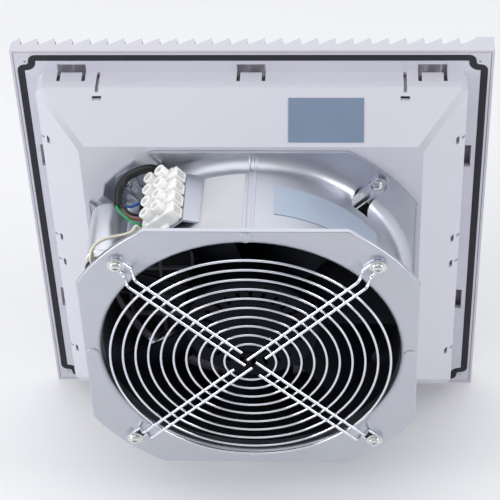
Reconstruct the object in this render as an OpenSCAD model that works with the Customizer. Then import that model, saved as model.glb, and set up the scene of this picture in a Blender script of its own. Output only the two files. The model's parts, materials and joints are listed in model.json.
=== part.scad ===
// Panel-mounted filter fan unit: louvre grille, filter mat, moulded housing and a metal axial fan.
// Every module is drawn as seen from inside the cabinet: x to the right, y up, z towards the viewer,
// with z = 0 on the rear face of the flange, which is the face that meets the cabinet panel.

/* [Grille] */
// Width and height of the louvre grille
grille_w = 323; // [318:1:330]
// Wall of the grille rim that wraps the flange
rim_t = 1.7; // [1.2:0.1:2]
// Distance from one louvre to the next
louvre_pitch = 11.78; // [10.5:0.01:13]
// Distance of the first louvre's peak from the grille's edge
first_tooth = 5.6; // [4:0.1:8]
// Least width of the plain block beside the last louvre
block_w = 11; // [8:0.5:12]
// Height of the louvre valleys in front of the panel
louvre_base = 7; // [6.6:0.1:8]
// Height of the louvre peaks in front of the panel
louvre_peak = 13.8; // [12:0.1:16]
// Thickness of one louvre
louvre_t = 1.3; // [1:0.1:1.8]
// Width of the solid border round the louvres
deck_border = 10.7; // [8:0.1:12]
// Thickness of the end walls that carry the louvres
end_wall_t = 3; // [2:0.5:5]
// Height of the plain block beside the last louvre
end_block_h = 14.4; // [12:0.1:16]
// Width of one latch arm of the grille
latch_w = 5.6; // [4:0.1:7]
// Thickness of one latch arm of the grille
latch_t = 1.8; // [1.2:0.1:2]
// How far the latch arms reach behind the panel face
latch_reach = 18.6; // [16:0.1:19]
// Room left past the end of a latch arm in its pocket
pocket_room = 4.1; // [3:0.1:5]

/* [Housing] */
// How far the grille reaches past the housing wall on each side
grille_reach = 17.5; // [16:0.5:20]
// Wall thickness of the moulded housing
wall_t = 2.5; // [2:0.1:3]
// Depth of the straight wall behind the panel face
wall_depth = 17.3; // [16:0.1:19]
// Depth of the fan seat behind the panel face
seat_depth = 44; // [42:0.5:48]
// Width of the fan seat left free beside the fan
seat_edge = 2.5; // [1.5:0.5:6]
// Thickness of the flange outside the wall
flange_t = 3.5; // [3:0.1:4.5]
// Play between the flange and the rim of the grille
flange_play = 0.4; // [0.2:0.1:1]
// Corner chamfer of the housing wall
wall_chamfer = 4; // [2:0.5:6]
// Length of one spring tongue cut-out
clip_w = 19.4; // [16:0.1:22]
// Width of the slot round a spring tongue
clip_slot = 2.5; // [1.5:0.1:3]
// Depth of the slot round a spring tongue, behind the panel face
clip_depth = 10.4; // [8:0.1:13]
// Height of the slot's foot in the flange
clip_foot = 5.9; // [4:0.1:6.5]
// Distance of the outer spring tongues on the top and bottom walls from the wall's corner
clip_corner = 23; // [20:1:28]
// Offset of the spring tongues on the side walls
side_clip_offset = 70; // [60:1:78]
// Distance of the outer latch slots on every wall from the wall's corner
latch_corner = 41.4; // [38:0.1:46]
// Offset of the inner latch slots on the side walls
inner_latch_offset = 12.3; // [8:0.1:20]
// Bar width of the filter support lattice
lattice_bar = 2; // [1.5:0.1:3]
// Number of openings across the filter support lattice
lattice_cells = 12; // [8:1:14]

/* [Gasket and filter] */
// Width of the foam gasket
gasket_w = 4.5; // [3.5:0.1:5]
// Height that the gasket stands proud of the flange
gasket_proud = 0.4; // [0.2:0.1:2]
// Depth of the gasket groove
groove_depth = 2; // [1:0.1:2.3]
// Distance of the gasket from the edge of the flange
gasket_edge = 1.8; // [1.5:0.1:2.5]
// How far the gasket steps inwards round a corner pad
pad_step = 7.9; // [7.6:0.1:8.4]
// Room for the latch arms between the filter mat and the housing wall
latch_room = 4.2; // [4:0.1:5]
// Free play between pieces that only rest on each other
seat_gap = 0.3; // [0.1:0.05:0.4]

/* [Fan frame] */
// Width of the square fan plates
fan_w = 225; // [223:0.5:226]
// Depth of the fan over both plates
fan_depth = 80; // [79:0.5:90]
// Sheet thickness of the frame
sheet_t = 1.2; // [1:0.1:1.4]
// Inner diameter of the round wall
bore_d = 202; // [201:0.5:203]
// Radius of the arc that trims the plate corners
corner_r = 130; // [129:0.5:134]
// Depth of the folded lip round each plate
lip_depth = 3; // [2:0.1:3.4]
// Fillet of the round wall into the back plate, measured outside
back_fillet = 5; // [4:0.1:6]
// Fillet of the round wall into the front plate, measured outside
front_fillet = 2.4; // [2:0.1:3.5]
// Screw spacing across the plate
screw_spacing = 168.8; // [167:0.1:170]
// Diameter of the half-sheared round tabs on the front plate
tab_d = 8.4; // [6:0.1:9]

/* [Impeller] */
// Number of blades
blade_count = 7; // [5:1:7]
// Running gap between blade tip and wall
tip_gap = 2; // [1.5:0.1:4]
// Pitch of a blade against the plane of rotation
blade_angle = 29; // [24:1:32]
// Radius of the curve that a blade is rolled to
camber_r = 95; // [80:1:140]
// Thickness of a blade
blade_t = 1.5; // [1:0.1:2]
// Angle that a blade covers
blade_span = 41; // [32:1:43]
// Forward sweep of a blade at its tip
blade_sweep = 7; // [0:1:12]
// Turn of the whole impeller at rest
blade_phase = 12; // [0:1:51]

/* [Motor] */
// Thickness of the rotor cage
cage_t = 5.85; // [4:0.05:7]
// Depth of the rotor bell
rotor_depth = 43; // [40:0.5:45]
// Distance of the rotor face behind the front plate
rotor_setback = 23; // [22:0.5:30]
// Wall of the rotor bell
rotor_wall = 1.5; // [1.2:0.1:2]
// Number of cooling slots in the rotor face
slot_count = 24; // [12:2:28]
// Shaft diameter
shaft_d = 8; // [6:0.5:8.5]
// Radial clearance of a shaft in its bearing seat
shaft_fit = 0.03; // [0.01:0.01:0.08]
// Outer diameter of a ball bearing
bearing_d = 22; // [21:0.5:24]
// Width of a ball bearing
bearing_w = 7; // [6:0.5:8]
// Diameter of the stator stack
stator_d = 76; // [74:0.5:78]
// Height of the stator stack
stator_h = 22; // [18:1:24]
// Number of stator teeth
tooth_count = 12; // [8:2:16]
// Air gap between stator and rotor
air_gap = 0.6; // [0.4:0.05:1]

/* [Motor carrier] */
// Sheet thickness of the motor carrier
arm_t = 1.5; // [1.2:0.1:2]
// Width of a carrier arm
arm_w = 10; // [8:0.5:12]
// Height of the turned-up rims of an arm
arm_rim = 2.4; // [1.5:0.1:3]
// Radius of the eye at the end of an arm
eye_r = 7.9; // [7:0.1:8.5]

/* [Finger guard] */
// Number of guard rings
ring_count = 10; // [6:1:12]
// Diameter of the smallest guard ring
ring_first_d = 34.8; // [30:0.2:40]
// Diameter of the largest guard ring
ring_last_d = 188.6; // [180:0.2:194]
// Wire diameter of the rings
ring_wire = 1.8; // [1.4:0.1:2.2]
// Wire diameter of the struts
strut_wire = 2.2; // [1.8:0.1:2.6]
// Distance of the rings in front of the plate
guard_stand = 7.2; // [6:0.1:10]
// Distance between the two legs of a strut
leg_gap = 7.4; // [6.8:0.1:8.4]

/* [Capacitor] */
// Diameter of the motor capacitor
can_d = 24.6; // [22:0.2:25]
// Length of the capacitor can
can_len = 53.4; // [48:0.1:54]
// Capacitor place to the left of the fan axis
can_x = 95.3; // [94:0.1:97]
// Capacitor place above the fan axis
can_y = 69.5; // [69:0.1:70.5]
// Height of the capacitor shelf's face above the back of the fan
shelf_rise = 14.2; // [13:0.1:15]
// Place of the shelf's riser beside the corner's diagonal
tab_side = 11; // [10:0.1:11.2]
// Radius of the capacitor stud
stud_r = 3.95; // [3.5:0.05:4]
// Distance between the two connection lugs of the capacitor
lug_gap = 4.84; // [4:0.02:6]
// Turn of the connection lugs
lug_turn = 24; // [0:1:90]
// Height of a connection lug above the lid's underside
lug_h = 1.5; // [0.8:0.1:1.6]

/* [Terminal strip] */
// Distance between two poles
pole_pitch = 11.6; // [11.2:0.1:12]
// Number of poles
pole_count = 4; // [2:1:4]
// Length of a pole from entry to entry
pole_len = 27.4; // [26:0.1:28]
// Height of the strip body
pole_h = 11; // [10:0.1:12]
// Height of the screw towers
tower_h = 18.3; // [16:0.1:19]
// Outer diameter of a screw tower
tower_d = 8.2; // [8:0.1:9]
// Height of the strip's far end above the back of the fan
strip_rise = 8.9; // [8.8:0.1:12]
// Lean of the strip
strip_lean = 40; // [39:1:41]

/* [Plates and leads] */
// Width of the blank plate on the housing
plate_w = 50; // [40:1:60]
// Height of the blank plate on the housing
plate_h = 29.5; // [20:0.5:30]
// Distance of the blank plate on the housing from the wall's outer ridge
plate_edge = 6.9; // [5:0.1:8]
// Distance of the blank plate on the housing from the middle of the wall
plate_side = 25.3; // [10:0.1:40]
// Angle at which the white foil on the round wall starts
label_from = 91.6; // [91:0.1:95]
// Angle at which the white foil on the round wall ends
label_to = 107; // [100:0.5:112]
// Distance of the white foil from the outer faces of the two fan plates
label_edge = 13; // [10:0.5:20]
// Angle at which the silver foil on the round wall starts
silver_from = 34.5; // [32:0.5:40]
// Angle at which the silver foil on the round wall ends
silver_to = 80.5; // [70:0.5:84]
// Distance of the silver foil from the back of the fan
silver_edge = 23.5; // [18:0.5:28]
// Width of the silver foil along the fan axis
silver_w = 27; // [20:0.5:34]
// Thickness of a blank foil plate
foil_t = 0.4; // [0.2:0.1:0.6]
// Diameter of the motor cable
cable_d = 6; // [5:0.1:6.2]
// Diameter of a single wire
wire_d = 2; // [1.6:0.1:2.2]

/* [Hidden] */
$fn = 64;
eps = 0.01;
far = 400;

half_grille = grille_w/2;
half_flange = half_grille - rim_t - flange_play;
half_wall = half_grille - grille_reach;
half_seat = fan_w/2 + seat_edge;
clip_offset = half_wall - clip_corner;
latch_offset = half_wall - latch_corner;
gasket_half = half_flange - gasket_edge;
pad_half = gasket_half - pad_step;
mat_half = half_wall - wall_t - latch_room;
slope_run = half_wall - half_seat;
slope_rise = seat_depth - wall_depth;
slope_angle = atan2(slope_rise, slope_run);

deck_back = flange_t + seat_gap;
deck_front = louvre_base;
deck_half = half_grille - deck_border;
first_peak = -half_grille + first_tooth;
louvre_count = floor((grille_w - first_tooth - block_w)/louvre_pitch);
saw_drop = 0.7;
saw_flat = 1.4;
latch_gap = 0.3;
latch_out = mat_half + latch_gap + latch_t + latch_gap;
pocket_depth = latch_reach + pocket_room;
latch_clear = 0.35;
slit_w = 2.2;
tongue_start = 1.2;
pad_pin = 5.4;

lattice_top = wall_depth;
lattice_depth = 3;
mat_front = -deck_back + seat_gap;
mat_back = lattice_top - lattice_depth - seat_gap;

fan_back = seat_depth;
fan_front = seat_depth + fan_depth;
wall_r = bore_d/2;
wall_out = wall_r + sheet_t;
screw_half = screw_spacing/2;
screw_r = 2;
screw_hole = 2.25;
screw_bite = 11;
mount_screw_len = 10;
mount_head_r = 3.9;
mount_head_h = 2.6;
guard_screw_len = 9;
guard_head_r = 4.1;
guard_head_h = 2.8;
washer_r = 5.6;
washer_t = 1;
seat_hole_r = wall_r + 1;
cut_inner = wall_r - 6;
cut_outer = wall_out + back_fillet + 1.3;
cut_top = fan_back + 14;
cut_lead = 13.4;
cut_other = arm_w/2 + 1;

rim_w = 1.2;
arm_back = fan_back + sheet_t;
arm_front = arm_back + arm_t;

rotor_front = fan_front - rotor_setback;
rotor_back = rotor_front - rotor_depth;
stator_r = stator_d/2;
cage_in = stator_r + air_gap;
cage_out = cage_in + cage_t;
rotor_r = cage_out + 0.05 + rotor_wall;
blade_mid = rotor_front - 21;
blade_room = 21;
tip_r = wall_r - tip_gap;
sleeve_in = rotor_r + 0.05;
sleeve_out = rotor_r + 1.5;
sleeve_h = 26;

flange_back = arm_front;
stator_flange_t = 4.5;
stator_flange_r = 40;
flange_front = flange_back + stator_flange_t;
tube_r = bearing_d/2 + 2.5;
bearing_seat = bearing_d/2 + 0.02;
rear_bearing = flange_front + 2;
front_bearing = rotor_front - 18;
tube_front = front_bearing + bearing_w + 1;
stack_back = flange_front + 10;
stack_front = stack_back + stator_h;
stack_bore = tube_r + 0.05;
slot_depth = 15;
shaft_r = shaft_d/2;
inner_race_t = 2;
outer_race_t = 2.2;
groove_bite = 0.75;
ball_play = 0.08;
inner_race_r = shaft_r + inner_race_t;
outer_race_r = bearing_d/2 - outer_race_t;
ball_mid = (inner_race_r + outer_race_r)/2;
ball_r = (outer_race_r - inner_race_r)/2 + groove_bite;
groove_r = ball_r + ball_play;
ball_count = 7;

guard_plane = fan_front + guard_stand;
weld_sink = 0.4;
leg_plane = guard_plane + (ring_wire + strut_wire)/2 - weld_sink;
foot_plane = fan_front + strut_wire/2 + 0.05;
washer_back = foot_plane + strut_wire/2 + 0.05;
leg_half = leg_gap/2;
strut_bend_in = ring_last_d/2 + 4;
strut_bend_out = strut_bend_in + 7;
eye_dist = screw_half*sqrt(2);
long_leg = 1.5;
short_leg = 11.4;
eye_lap = 2;

strip_start = fan_back + strip_rise;
strip_x = -42.1;
strip_y = 99.6;
strip_len = pole_pitch*pole_count;
hood = 3.4;
pole_body = pole_pitch - 2;
break_rib = 1.5;
fixing_head = 2.4;
entry_h = 5.2;
tower_in = pole_len/2 - 5;
tower_out = pole_len/2 + 5;
clamp_r = 2.65;

can_seat = fan_back + shelf_rise;
tab_in = 106.8;
tab_out = 129.4;
shelf_reach = 5.4;
can_r = norm([can_x, can_y]);
can_turn = atan2(can_y, -can_x) - 135;
can_start = can_seat + 3.3;

// Notches in the upper left corner of the back plate: its sides and its floor, seen along the corner's diagonal
notches = [[-29.5, -17.4, 116], [tab_side + sheet_t, 31, 108.5]];

// Route points: to the right, up and towards the viewer
CABLE = [[-20.7,33.7,54.3], [-28.6,42.1,54], [-42.6,56.4,52.5], [-55.3,69.2,51.4], [-61.7,75.5,51],
    [-65.2,79,51], [-65.2,85,51], [-62.5,91,50.4], [-60.6,96.5,50.3], [-64,100.6,50.4],
    [-69.8,101.9,51.5], [-76.4,101.1,54], [-81.9,99.7,57], [-85.4,97.3,61.5], [-87.2,95.3,67],
    [-87.4,92.8,72], [-87,90.8,76.5]];
BLUE = [[-86,89.9,76.1], [-81.2,90.4,76], [-78.9,88.2,74], [-76,87,71], [-73.3,86,67], [-70.2,85.3,63],
    [-67.7,84.9,58.9], [-62.3,89.4,58.7]];
BLACK = [[-86,91.8,76.9], [-82.6,91.7,78.6], [-80.3,90.1,80.7], [-77.5,88.9,82], [-74.1,88,82],
    [-70.5,86.7,80], [-67.7,84.9,71.5], [-62.3,89.4,70.3]];
BROWN = [[-88,89.9,76.3], [-84.1,89.5,80.5], [-80.9,89.1,83], [-77.5,89.3,86], [-73.7,88.4,86.5],
    [-69.2,87.2,85], [-67.9,85.1,80.4], [-62.9,88.9,80.7]];
GREEN = [[-88,91.8,77.1], [-85.5,91.5,82.2], [-80.9,89.8,86], [-77.2,89.5,90], [-72.3,88.8,92],
    [-68.6,86.6,91.8], [-66.4,86.1,92.3], [-62.9,88.9,92.4]];
LEAD = [[-97.5,68.5,118.6], [-101.3,77,118], [-101.1,87.6,117.5], [-99.6,91.3,117], [-97.2,92.5,114],
    [-93.3,92.9,111], [-88.5,92.2,108], [-83.7,91.8,106], [-78.8,91.6,104], [-75.2,91.5,101],
    [-73.2,93.3,98.5], [-71.5,89.5,96.8], [-69,86.2,95.2], [-66.4,86.1,94.7], [-62.9,88.9,94.6]];
LEAD_BEHIND = [[-93.1,70.5,118.6], [-98.8,77.2,117.4], [-100.6,85.4,115.4], [-99.7,89.2,114.8],
    [-97.3,90.4,111.8], [-93.4,90.8,108.8], [-88.6,90.1,105.8], [-83.8,89.7,103.8], [-78.9,89.5,101.8],
    [-75.3,89.4,98.8], [-73.5,86.6,95.5], [-71.5,84.3,91], [-69.5,83.4,86.5], [-66.9,84.3,84],
    [-62.9,88.9,83.1]];

// The working frame of this file, turned so that the fan axis lies along Y and the cabinet is at -Y
module installed() {
    rotate([90, 0, 0]) children();
}

module four_ways() {
    for (turn = [0:90:270]) rotate([0, 0, turn]) children();
}

module at_screws() {
    for (sx = [-1, 1], sy = [-1, 1]) translate([sx*screw_half, sy*screw_half, 0]) children();
}

module slab(half, z0, z1) {
    translate([-half, -half, z0]) cube([2*half, 2*half, z1 - z0]);
}

module ring(r_in, r_out, z0, z1) {
    translate([0, 0, z0]) difference() {
        cylinder(r = r_out, h = z1 - z0);
        translate([0, 0, -1]) cylinder(r = r_in, h = z1 - z0 + 2);
    }
}

// A tube of flat rings along hand-chosen points
function unit(v) = v/norm(v);
function heading(p, i) = unit(p[min(i + 1, len(p) - 1)] - p[max(i - 1, 0)]);
function carry(side, dir) = unit(side - (side*dir)*dir);
function sides(p, i, side) = i == len(p) ? [] :
    let (s = carry(side, heading(p, i))) concat([s], sides(p, i + 1, s));

module tube(path, d, edges = 8) {
    first = heading(path, 0);
    across = carry(abs(first[2]) < 0.8 ? [0, 0, 1] : [0, 1, 0], first);
    side = sides(path, 0, across);
    rings = [for (i = [0:len(path) - 1], e = [0:edges - 1])
        let (s = side[i], u = cross(heading(path, i), s), a = 360*e/edges)
            path[i] + d/2*(cos(a)*s + sin(a)*u)];
    walls = [for (i = [0:len(path) - 2], e = [0:edges - 1])
        let (f = (e + 1) % edges) [i*edges + e, (i + 1)*edges + e, (i + 1)*edges + f, i*edges + f]];
    start = [[for (e = [0:edges - 1]) e]];
    end = [[for (e = [edges - 1:-1:0]) (len(path) - 1)*edges + e]];
    polyhedron(points = rings, faces = concat(start, walls, end), convexity = 10);
}

// Louvre grille: rim, deck, saw-toothed end walls, louvres, cross ribs and latch arms
module saw_outline() {
    run = louvre_pitch - saw_drop - saw_flat;
    teeth = [for (k = [0:louvre_count - 1]) let (p = first_peak + k*louvre_pitch) each [
        [k == 0 ? -half_grille : p - run, k == 0 ? louvre_base + 1.7 : louvre_base],
        [p, louvre_peak],
        [p + saw_drop, louvre_base]]];
    last = first_peak + louvre_count*louvre_pitch - saw_drop;
    polygon(concat([[-half_grille, deck_back]], teeth, [[last + saw_drop - run, louvre_base],
        [last, louvre_peak - 0.5], [last + 0.2, end_block_h], [half_grille, end_block_h],
        [half_grille, deck_back]]));
}

module louvre_outline() {
    rise = louvre_peak - louvre_base;
    polygon([[-2.2, louvre_base - 1.9], [louvre_pitch - 2.1, louvre_peak],
        [louvre_pitch - 1.5, louvre_peak - 1], [louvre_pitch - 2.2, louvre_peak - louvre_t - 0.7],
        [-1.5, louvre_base - 2.9]]);
}

// Draws an outline of distance across and height in front of the panel, and runs it up the grille
module run_up(length) {
    rotate([90, 0, 0]) translate([0, 0, -length/2]) linear_extrude(length) mirror([0, 1]) children();
}

module latch_arms() {
    reach = latch_reach + deck_back + 1;
    spots = [for (side = [-latch_offset, latch_offset]) side];
    for (turn = [0, 180], x = spots) rotate([0, 0, turn]) latch_arm(x);
    for (turn = [90, 270], x = concat(spots, [-inner_latch_offset, inner_latch_offset]))
        rotate([0, 0, turn]) latch_arm(x);
}

module latch_arm(x) {
    inner = latch_out - latch_gap - latch_t;
    translate([x - latch_w/2, inner, -deck_back - 1]) cube([latch_w, latch_t, latch_reach + deck_back + 1]);
    translate([x - latch_w/2 - 2, inner, -deck_front])
        cube([latch_w + 4, deck_half + 1 - inner, deck_front - deck_back]);
}

module louvre_grille() color("gainsboro") installed() {
    difference() {
        slab(half_grille, -deck_front, 0);
        slab(half_grille - rim_t, -deck_back, 1);
        slab(deck_half, -deck_front - 1, 1);
    }
    for (side = [-1, 1]) translate([0, side*(half_grille - end_wall_t/2), 0])
        run_up(end_wall_t) saw_outline();
    run_up(grille_w - 2*end_wall_t + 1) {
        for (k = [0:louvre_count]) translate([first_peak - louvre_pitch + 2.1 + k*louvre_pitch, 0])
            intersection() {
                louvre_outline();
                translate([-first_peak + louvre_pitch - 2.1 - k*louvre_pitch - half_grille, 0])
                    square([grille_w, far]);
            }
        end_block();
    }
    for (y = [-2:1:2]) translate([-half_grille + 2, y*grille_w/6 - 1, -deck_front - 0.8])
        cube([grille_w - 4, 2, deck_front + 0.8 - deck_back]);
    latch_arms();
}

module end_block() {
    start = first_peak + louvre_count*louvre_pitch - saw_drop;
    difference() {
        translate([start, louvre_base - 1]) square([half_grille - start, end_block_h - louvre_base + 1]);
        translate([start + 2, louvre_base - 2]) square([half_grille - start - 4, end_block_h - louvre_base]);
    }
}

module filter_mat() color("whitesmoke") installed() {
    slab(mat_half, mat_front, mat_back);
}

// Housing: a square funnel with flat faces, drawn as two crossed profiles and a turned third for the chamfers
module funnel_profile(grow, front) {
    polygon([[-half_wall - grow, front], [half_wall + grow, front], [half_wall + grow, wall_depth + grow*0.4],
        [half_seat + grow, seat_depth + grow], [-half_seat - grow, seat_depth + grow],
        [-half_wall - grow, wall_depth + grow*0.4]]);
}

module chamfer_profile(grow, front) {
    wide = (2*half_wall - wall_chamfer)/sqrt(2) + grow;
    narrow = (2*half_seat - wall_chamfer)/sqrt(2) + grow;
    polygon([[-wide, front], [wide, front], [wide, wall_depth + grow*0.4], [narrow, seat_depth + grow],
        [-narrow, seat_depth + grow], [-wide, wall_depth + grow*0.4]]);
}

module crossed(turn) {
    rotate([0, 0, turn]) rotate([90, 0, 0]) linear_extrude(2*far, center = true) children();
}

module funnel(grow, front) {
    intersection() {
        crossed(0) funnel_profile(grow, front);
        crossed(90) funnel_profile(grow, front);
        crossed(45) chamfer_profile(grow, front);
        crossed(-45) chamfer_profile(grow, front);
    }
}

module gasket_outline(half, step, round_out, round_in) {
    for (turn = [0, 90]) rotate(turn) intersection() {
        square([2*half, 2*step], center = true);
        union() {
            square([2*(half - round_out), 2*step], center = true);
            square([2*half, 2*(step - round_out)], center = true);
            for (sx = [-1, 1], sy = [-1, 1]) translate([sx*(half - round_out), sy*(step - round_out)])
                circle(round_out);
        }
    }
    for (sx = [-1, 1], sy = [-1, 1]) translate([sx*step, sy*step]) difference() {
        translate([sx*round_in/2, sy*round_in/2]) square(round_in, center = true);
        translate([sx*round_in, sy*round_in]) circle(round_in);
    }
}

module gasket_band(grow) {
    difference() {
        gasket_outline(gasket_half + grow, pad_half + grow, 5 + grow, 2.5 - grow);
        gasket_outline(gasket_half - gasket_w - grow, pad_half - gasket_w - grow, 0.5, 6.8);
    }
}

module clip_cuts(x) {
    inner = half_wall - wall_t - 1;
    translate([x - clip_w/2, inner, -flange_t - 1])
        cube([clip_w, wall_t + 1 + clip_foot, flange_t + 1 + tongue_start]);
    for (side = [-1, 1]) translate([x + side*(clip_w - clip_slot)/2 - clip_slot/2, inner, -flange_t - 1])
        cube([clip_slot, wall_t + 2, clip_depth + flange_t + 1]);
}

module latch_cuts(x) {
    inner = latch_out - latch_gap - latch_t - latch_clear;
    translate([x - latch_w/2 - latch_clear, inner, 0.5])
        cube([latch_w + 2*latch_clear, latch_t + 2*latch_clear, pocket_depth]);
    translate([x - slit_w/2, half_wall - wall_t - 1, 0.7]) cube([slit_w, wall_t + 2, wall_depth + 1.5]);
}

module lattice() {
    inner = half_wall - wall_t;
    step = 2*inner/lattice_cells;
    intersection() {
        for (turn = [0, 90]) rotate([0, 0, turn]) for (k = [1:lattice_cells - 1])
            translate([-inner - 1, -inner + k*step - lattice_bar/2, lattice_top - lattice_depth])
                cube([2*inner + 2, lattice_bar, lattice_depth]);
        funnel(-wall_t/2, -1);
    }
}

module screw_bosses() {
    translate([0, 0, seat_depth - 12]) at_screws() difference() {
        cylinder(r = 5, h = 12 - eps);
        translate([0, 0, 1]) cylinder(r = screw_r - 0.25, h = 12);
    }
}

module housing() color("lightgray") installed() {
    difference() {
        union() {
            slab(half_flange, -flange_t, 0);
            funnel(0, -1);
        }
        difference() {
            funnel(-wall_t, -flange_t - 2);
            screw_bosses_core();
        }
        translate([0, 0, seat_depth - wall_t - 1]) cylinder(r = seat_hole_r, h = wall_t + 2);
        translate([0, 0, -groove_depth]) linear_extrude(groove_depth + 1) gasket_band(0.2);
        for (turn = [0, 180], x = [-clip_offset, 0, clip_offset]) rotate([0, 0, turn]) clip_cuts(x);
        for (turn = [90, 270], x = [-side_clip_offset, side_clip_offset]) rotate([0, 0, turn]) clip_cuts(x);
        for (turn = [0, 180], x = [-latch_offset, latch_offset]) rotate([0, 0, turn]) latch_cuts(x);
        for (turn = [90, 270], x = [-latch_offset, -inner_latch_offset, inner_latch_offset, latch_offset])
            rotate([0, 0, turn]) latch_cuts(x);
        at_screws() translate([0, 0, seat_depth - screw_bite]) cylinder(r = screw_r + 0.02, h = screw_bite + 1);
        for (sx = [-1, 1], sy = [-1, 1]) translate([sx*(gasket_half - pad_pin), sy*(gasket_half - pad_pin), -1])
            cylinder(r = 0.9, h = 2);
    }
    lattice();
}

module screw_bosses_core() {
    at_screws() translate([0, 0, seat_depth - 12]) cylinder(r = 5, h = 12);
}

module gasket() color("dimgray") installed() {
    translate([0, 0, -groove_depth]) linear_extrude(groove_depth + gasket_proud) gasket_band(0);
}

// Fan frame: one sheet, rolled to a round wall and turned out to a square plate at both ends
module plate_outline(inset, notched) {
    difference() {
        intersection() {
            square(fan_w - 2*inset, center = true);
            circle(corner_r - inset, $fn = 128);
        }
        if (notched) for (n = notches) rotate(135) translate([n[2] - inset, n[0] - inset])
            square([40, n[1] - n[0] + 2*inset]);
    }
}

module plate(z, lip_z, fillet, notched) {
    translate([0, 0, z]) linear_extrude(sheet_t) difference() {
        plate_outline(0, notched);
        circle(wall_out + fillet, $fn = 128);
    }
    translate([0, 0, lip_z]) linear_extrude(lip_depth) difference() {
        plate_outline(0, notched);
        plate_outline(sheet_t, notched);
    }
}

module quarter(fillet, up) {
    intersection() {
        difference() {
            circle(fillet + sheet_t);
            circle(fillet);
        }
        mirror([0, up ? 0 : 1]) translate([-fillet - sheet_t - 1, 0]) square(fillet + sheet_t + 1);
    }
}

module wall_profile() {
    low = fan_back + sheet_t + back_fillet;
    high = fan_front - sheet_t - front_fillet;
    translate([wall_r, low]) square([sheet_t, high - low]);
    translate([wall_out + back_fillet, low]) quarter(back_fillet, false);
    translate([wall_out + front_fillet, high]) quarter(front_fillet, true);
}

module weld_seam() {
    translate([-0.4, wall_out - 0.4, fan_back + back_fillet])
        cube([2.4, 1.1, fan_depth - back_fillet - 3]);
    translate([-0.4, wall_out + back_fillet - 1, fan_back + sheet_t - 0.3]) cube([2.4, 4, 0.9]);
}

module arm_cut() {
    rotate([0, 0, 45]) translate([cut_inner, -cut_lead, fan_back + sheet_t - 0.15])
        cube([cut_outer - cut_inner, cut_lead + cut_other, cut_top - fan_back]);
}

module half_sheared_tab() {
    translate([0, fan_w/2 - 5.2, fan_front - eps]) difference() {
        cylinder(d = tab_d, h = 0.5);
        translate([-tab_d, -tab_d, -1]) cube([2*tab_d, tab_d + 0.8, 3]);
    }
}

// A tab lanced out of the back plate's corner and folded up: a riser and a shelf that carries the capacitor
module can_tab() {
    rotate([0, 0, 135]) translate([tab_in, tab_side, fan_back]) cube([tab_out - tab_in, sheet_t, can_seat - fan_back]);
    translate([0, 0, can_seat - sheet_t]) linear_extrude(sheet_t) rotate(135) difference() {
        union() {
            translate([tab_in, tab_side]) square([tab_out - tab_in, shelf_reach]);
            intersection() {
                rotate(can_turn) translate([can_r, 0]) circle(9.5);
                translate([tab_in, tab_side]) square(40);
            }
        }
        rotate(can_turn) translate([can_r, 0]) circle(4.1);
    }
}

module fan_frame() color("silver") installed() {
    difference() {
        union() {
            can_tab();
            plate(fan_back, fan_back, back_fillet, true);
            plate(fan_front - sheet_t, fan_front - lip_depth, front_fillet, false);
            rotate_extrude($fn = 128) wall_profile();
            weld_seam();
            at_screws() translate([0, 0, fan_front - sheet_t - 0.8]) cylinder(r = 6.5, h = 1);
            four_ways() half_sheared_tab();
        }
        at_screws() translate([0, 0, fan_back - 1]) cylinder(r = screw_hole, h = fan_depth + 2);
        four_ways() arm_cut();
    }
}

// Pan-head screws with a cross recess
module pan_screw(shank, length, head_r, head_h) {
    difference() {
        union() {
            translate([0, 0, -length]) cylinder(r = shank, h = length + eps);
            cylinder(r = head_r, h = head_h*0.55);
            translate([0, 0, head_h*0.55 - eps]) cylinder(r1 = head_r, r2 = head_r*0.62, h = head_h*0.45);
        }
        for (turn = [0, 90]) rotate([0, 0, turn]) translate([-head_r*0.55, -0.45, head_h*0.45])
            cube([head_r*1.1, 0.9, head_h]);
    }
}

module fan_mount_screws() color("silver") installed() {
    at_screws() translate([0, 0, arm_front + 0.02])
        pan_screw(screw_r, mount_screw_len, mount_head_r, mount_head_h);
}

// Finger guard: rings welded behind four hairpin struts
module guard_ring(r) {
    translate([0, 0, guard_plane]) rotate_extrude($fn = 96) translate([r, 0]) circle(d = ring_wire, $fn = 24);
}

module rod(from, to, d) {
    v = to - from;
    translate(from) rotate([0, acos(v[2]/norm(v)), atan2(v[1], v[0])])
        rotate([0, 0, 180]) cylinder(d = d, h = norm(v), $fn = 24);
}

module strut_leg(start, side) {
    a = [start, side*leg_half, leg_plane];
    b = [strut_bend_in, side*leg_half, leg_plane];
    c = [strut_bend_out, side*leg_half, foot_plane];
    d = [eye_dist, side*leg_half, foot_plane];
    rod(a, b, strut_wire);
    rod(b, c, strut_wire);
    rod(c, d, strut_wire);
    for (joint = [b, c]) translate(joint) sphere(d = strut_wire + 0.04, $fn = 24);
}

module strut() {
    strut_leg(long_leg, 1);
    strut_leg(short_leg, -1);
    translate([eye_dist, 0, foot_plane]) rotate([0, 0, -90 - eye_lap])
        rotate_extrude(angle = 180 + 2*eye_lap, $fn = 64)
            translate([leg_half, 0]) circle(d = strut_wire - 0.04, $fn = 24);
}

module finger_guard() color("lightsteelblue") installed() {
    pitch = (ring_last_d - ring_first_d)/2/(ring_count - 1);
    for (k = [0:ring_count - 1]) guard_ring(ring_first_d/2 + k*pitch);
    four_ways() rotate([0, 0, 45]) strut();
}

module guard_washers() color("silver") installed() {
    at_screws() ring(screw_hole, washer_r, washer_back, washer_back + washer_t);
}

module guard_screws() color("silver") installed() {
    at_screws() translate([0, 0, washer_back + washer_t + 0.05])
        pan_screw(screw_r, guard_screw_len, guard_head_r, guard_head_h);
}

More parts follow.
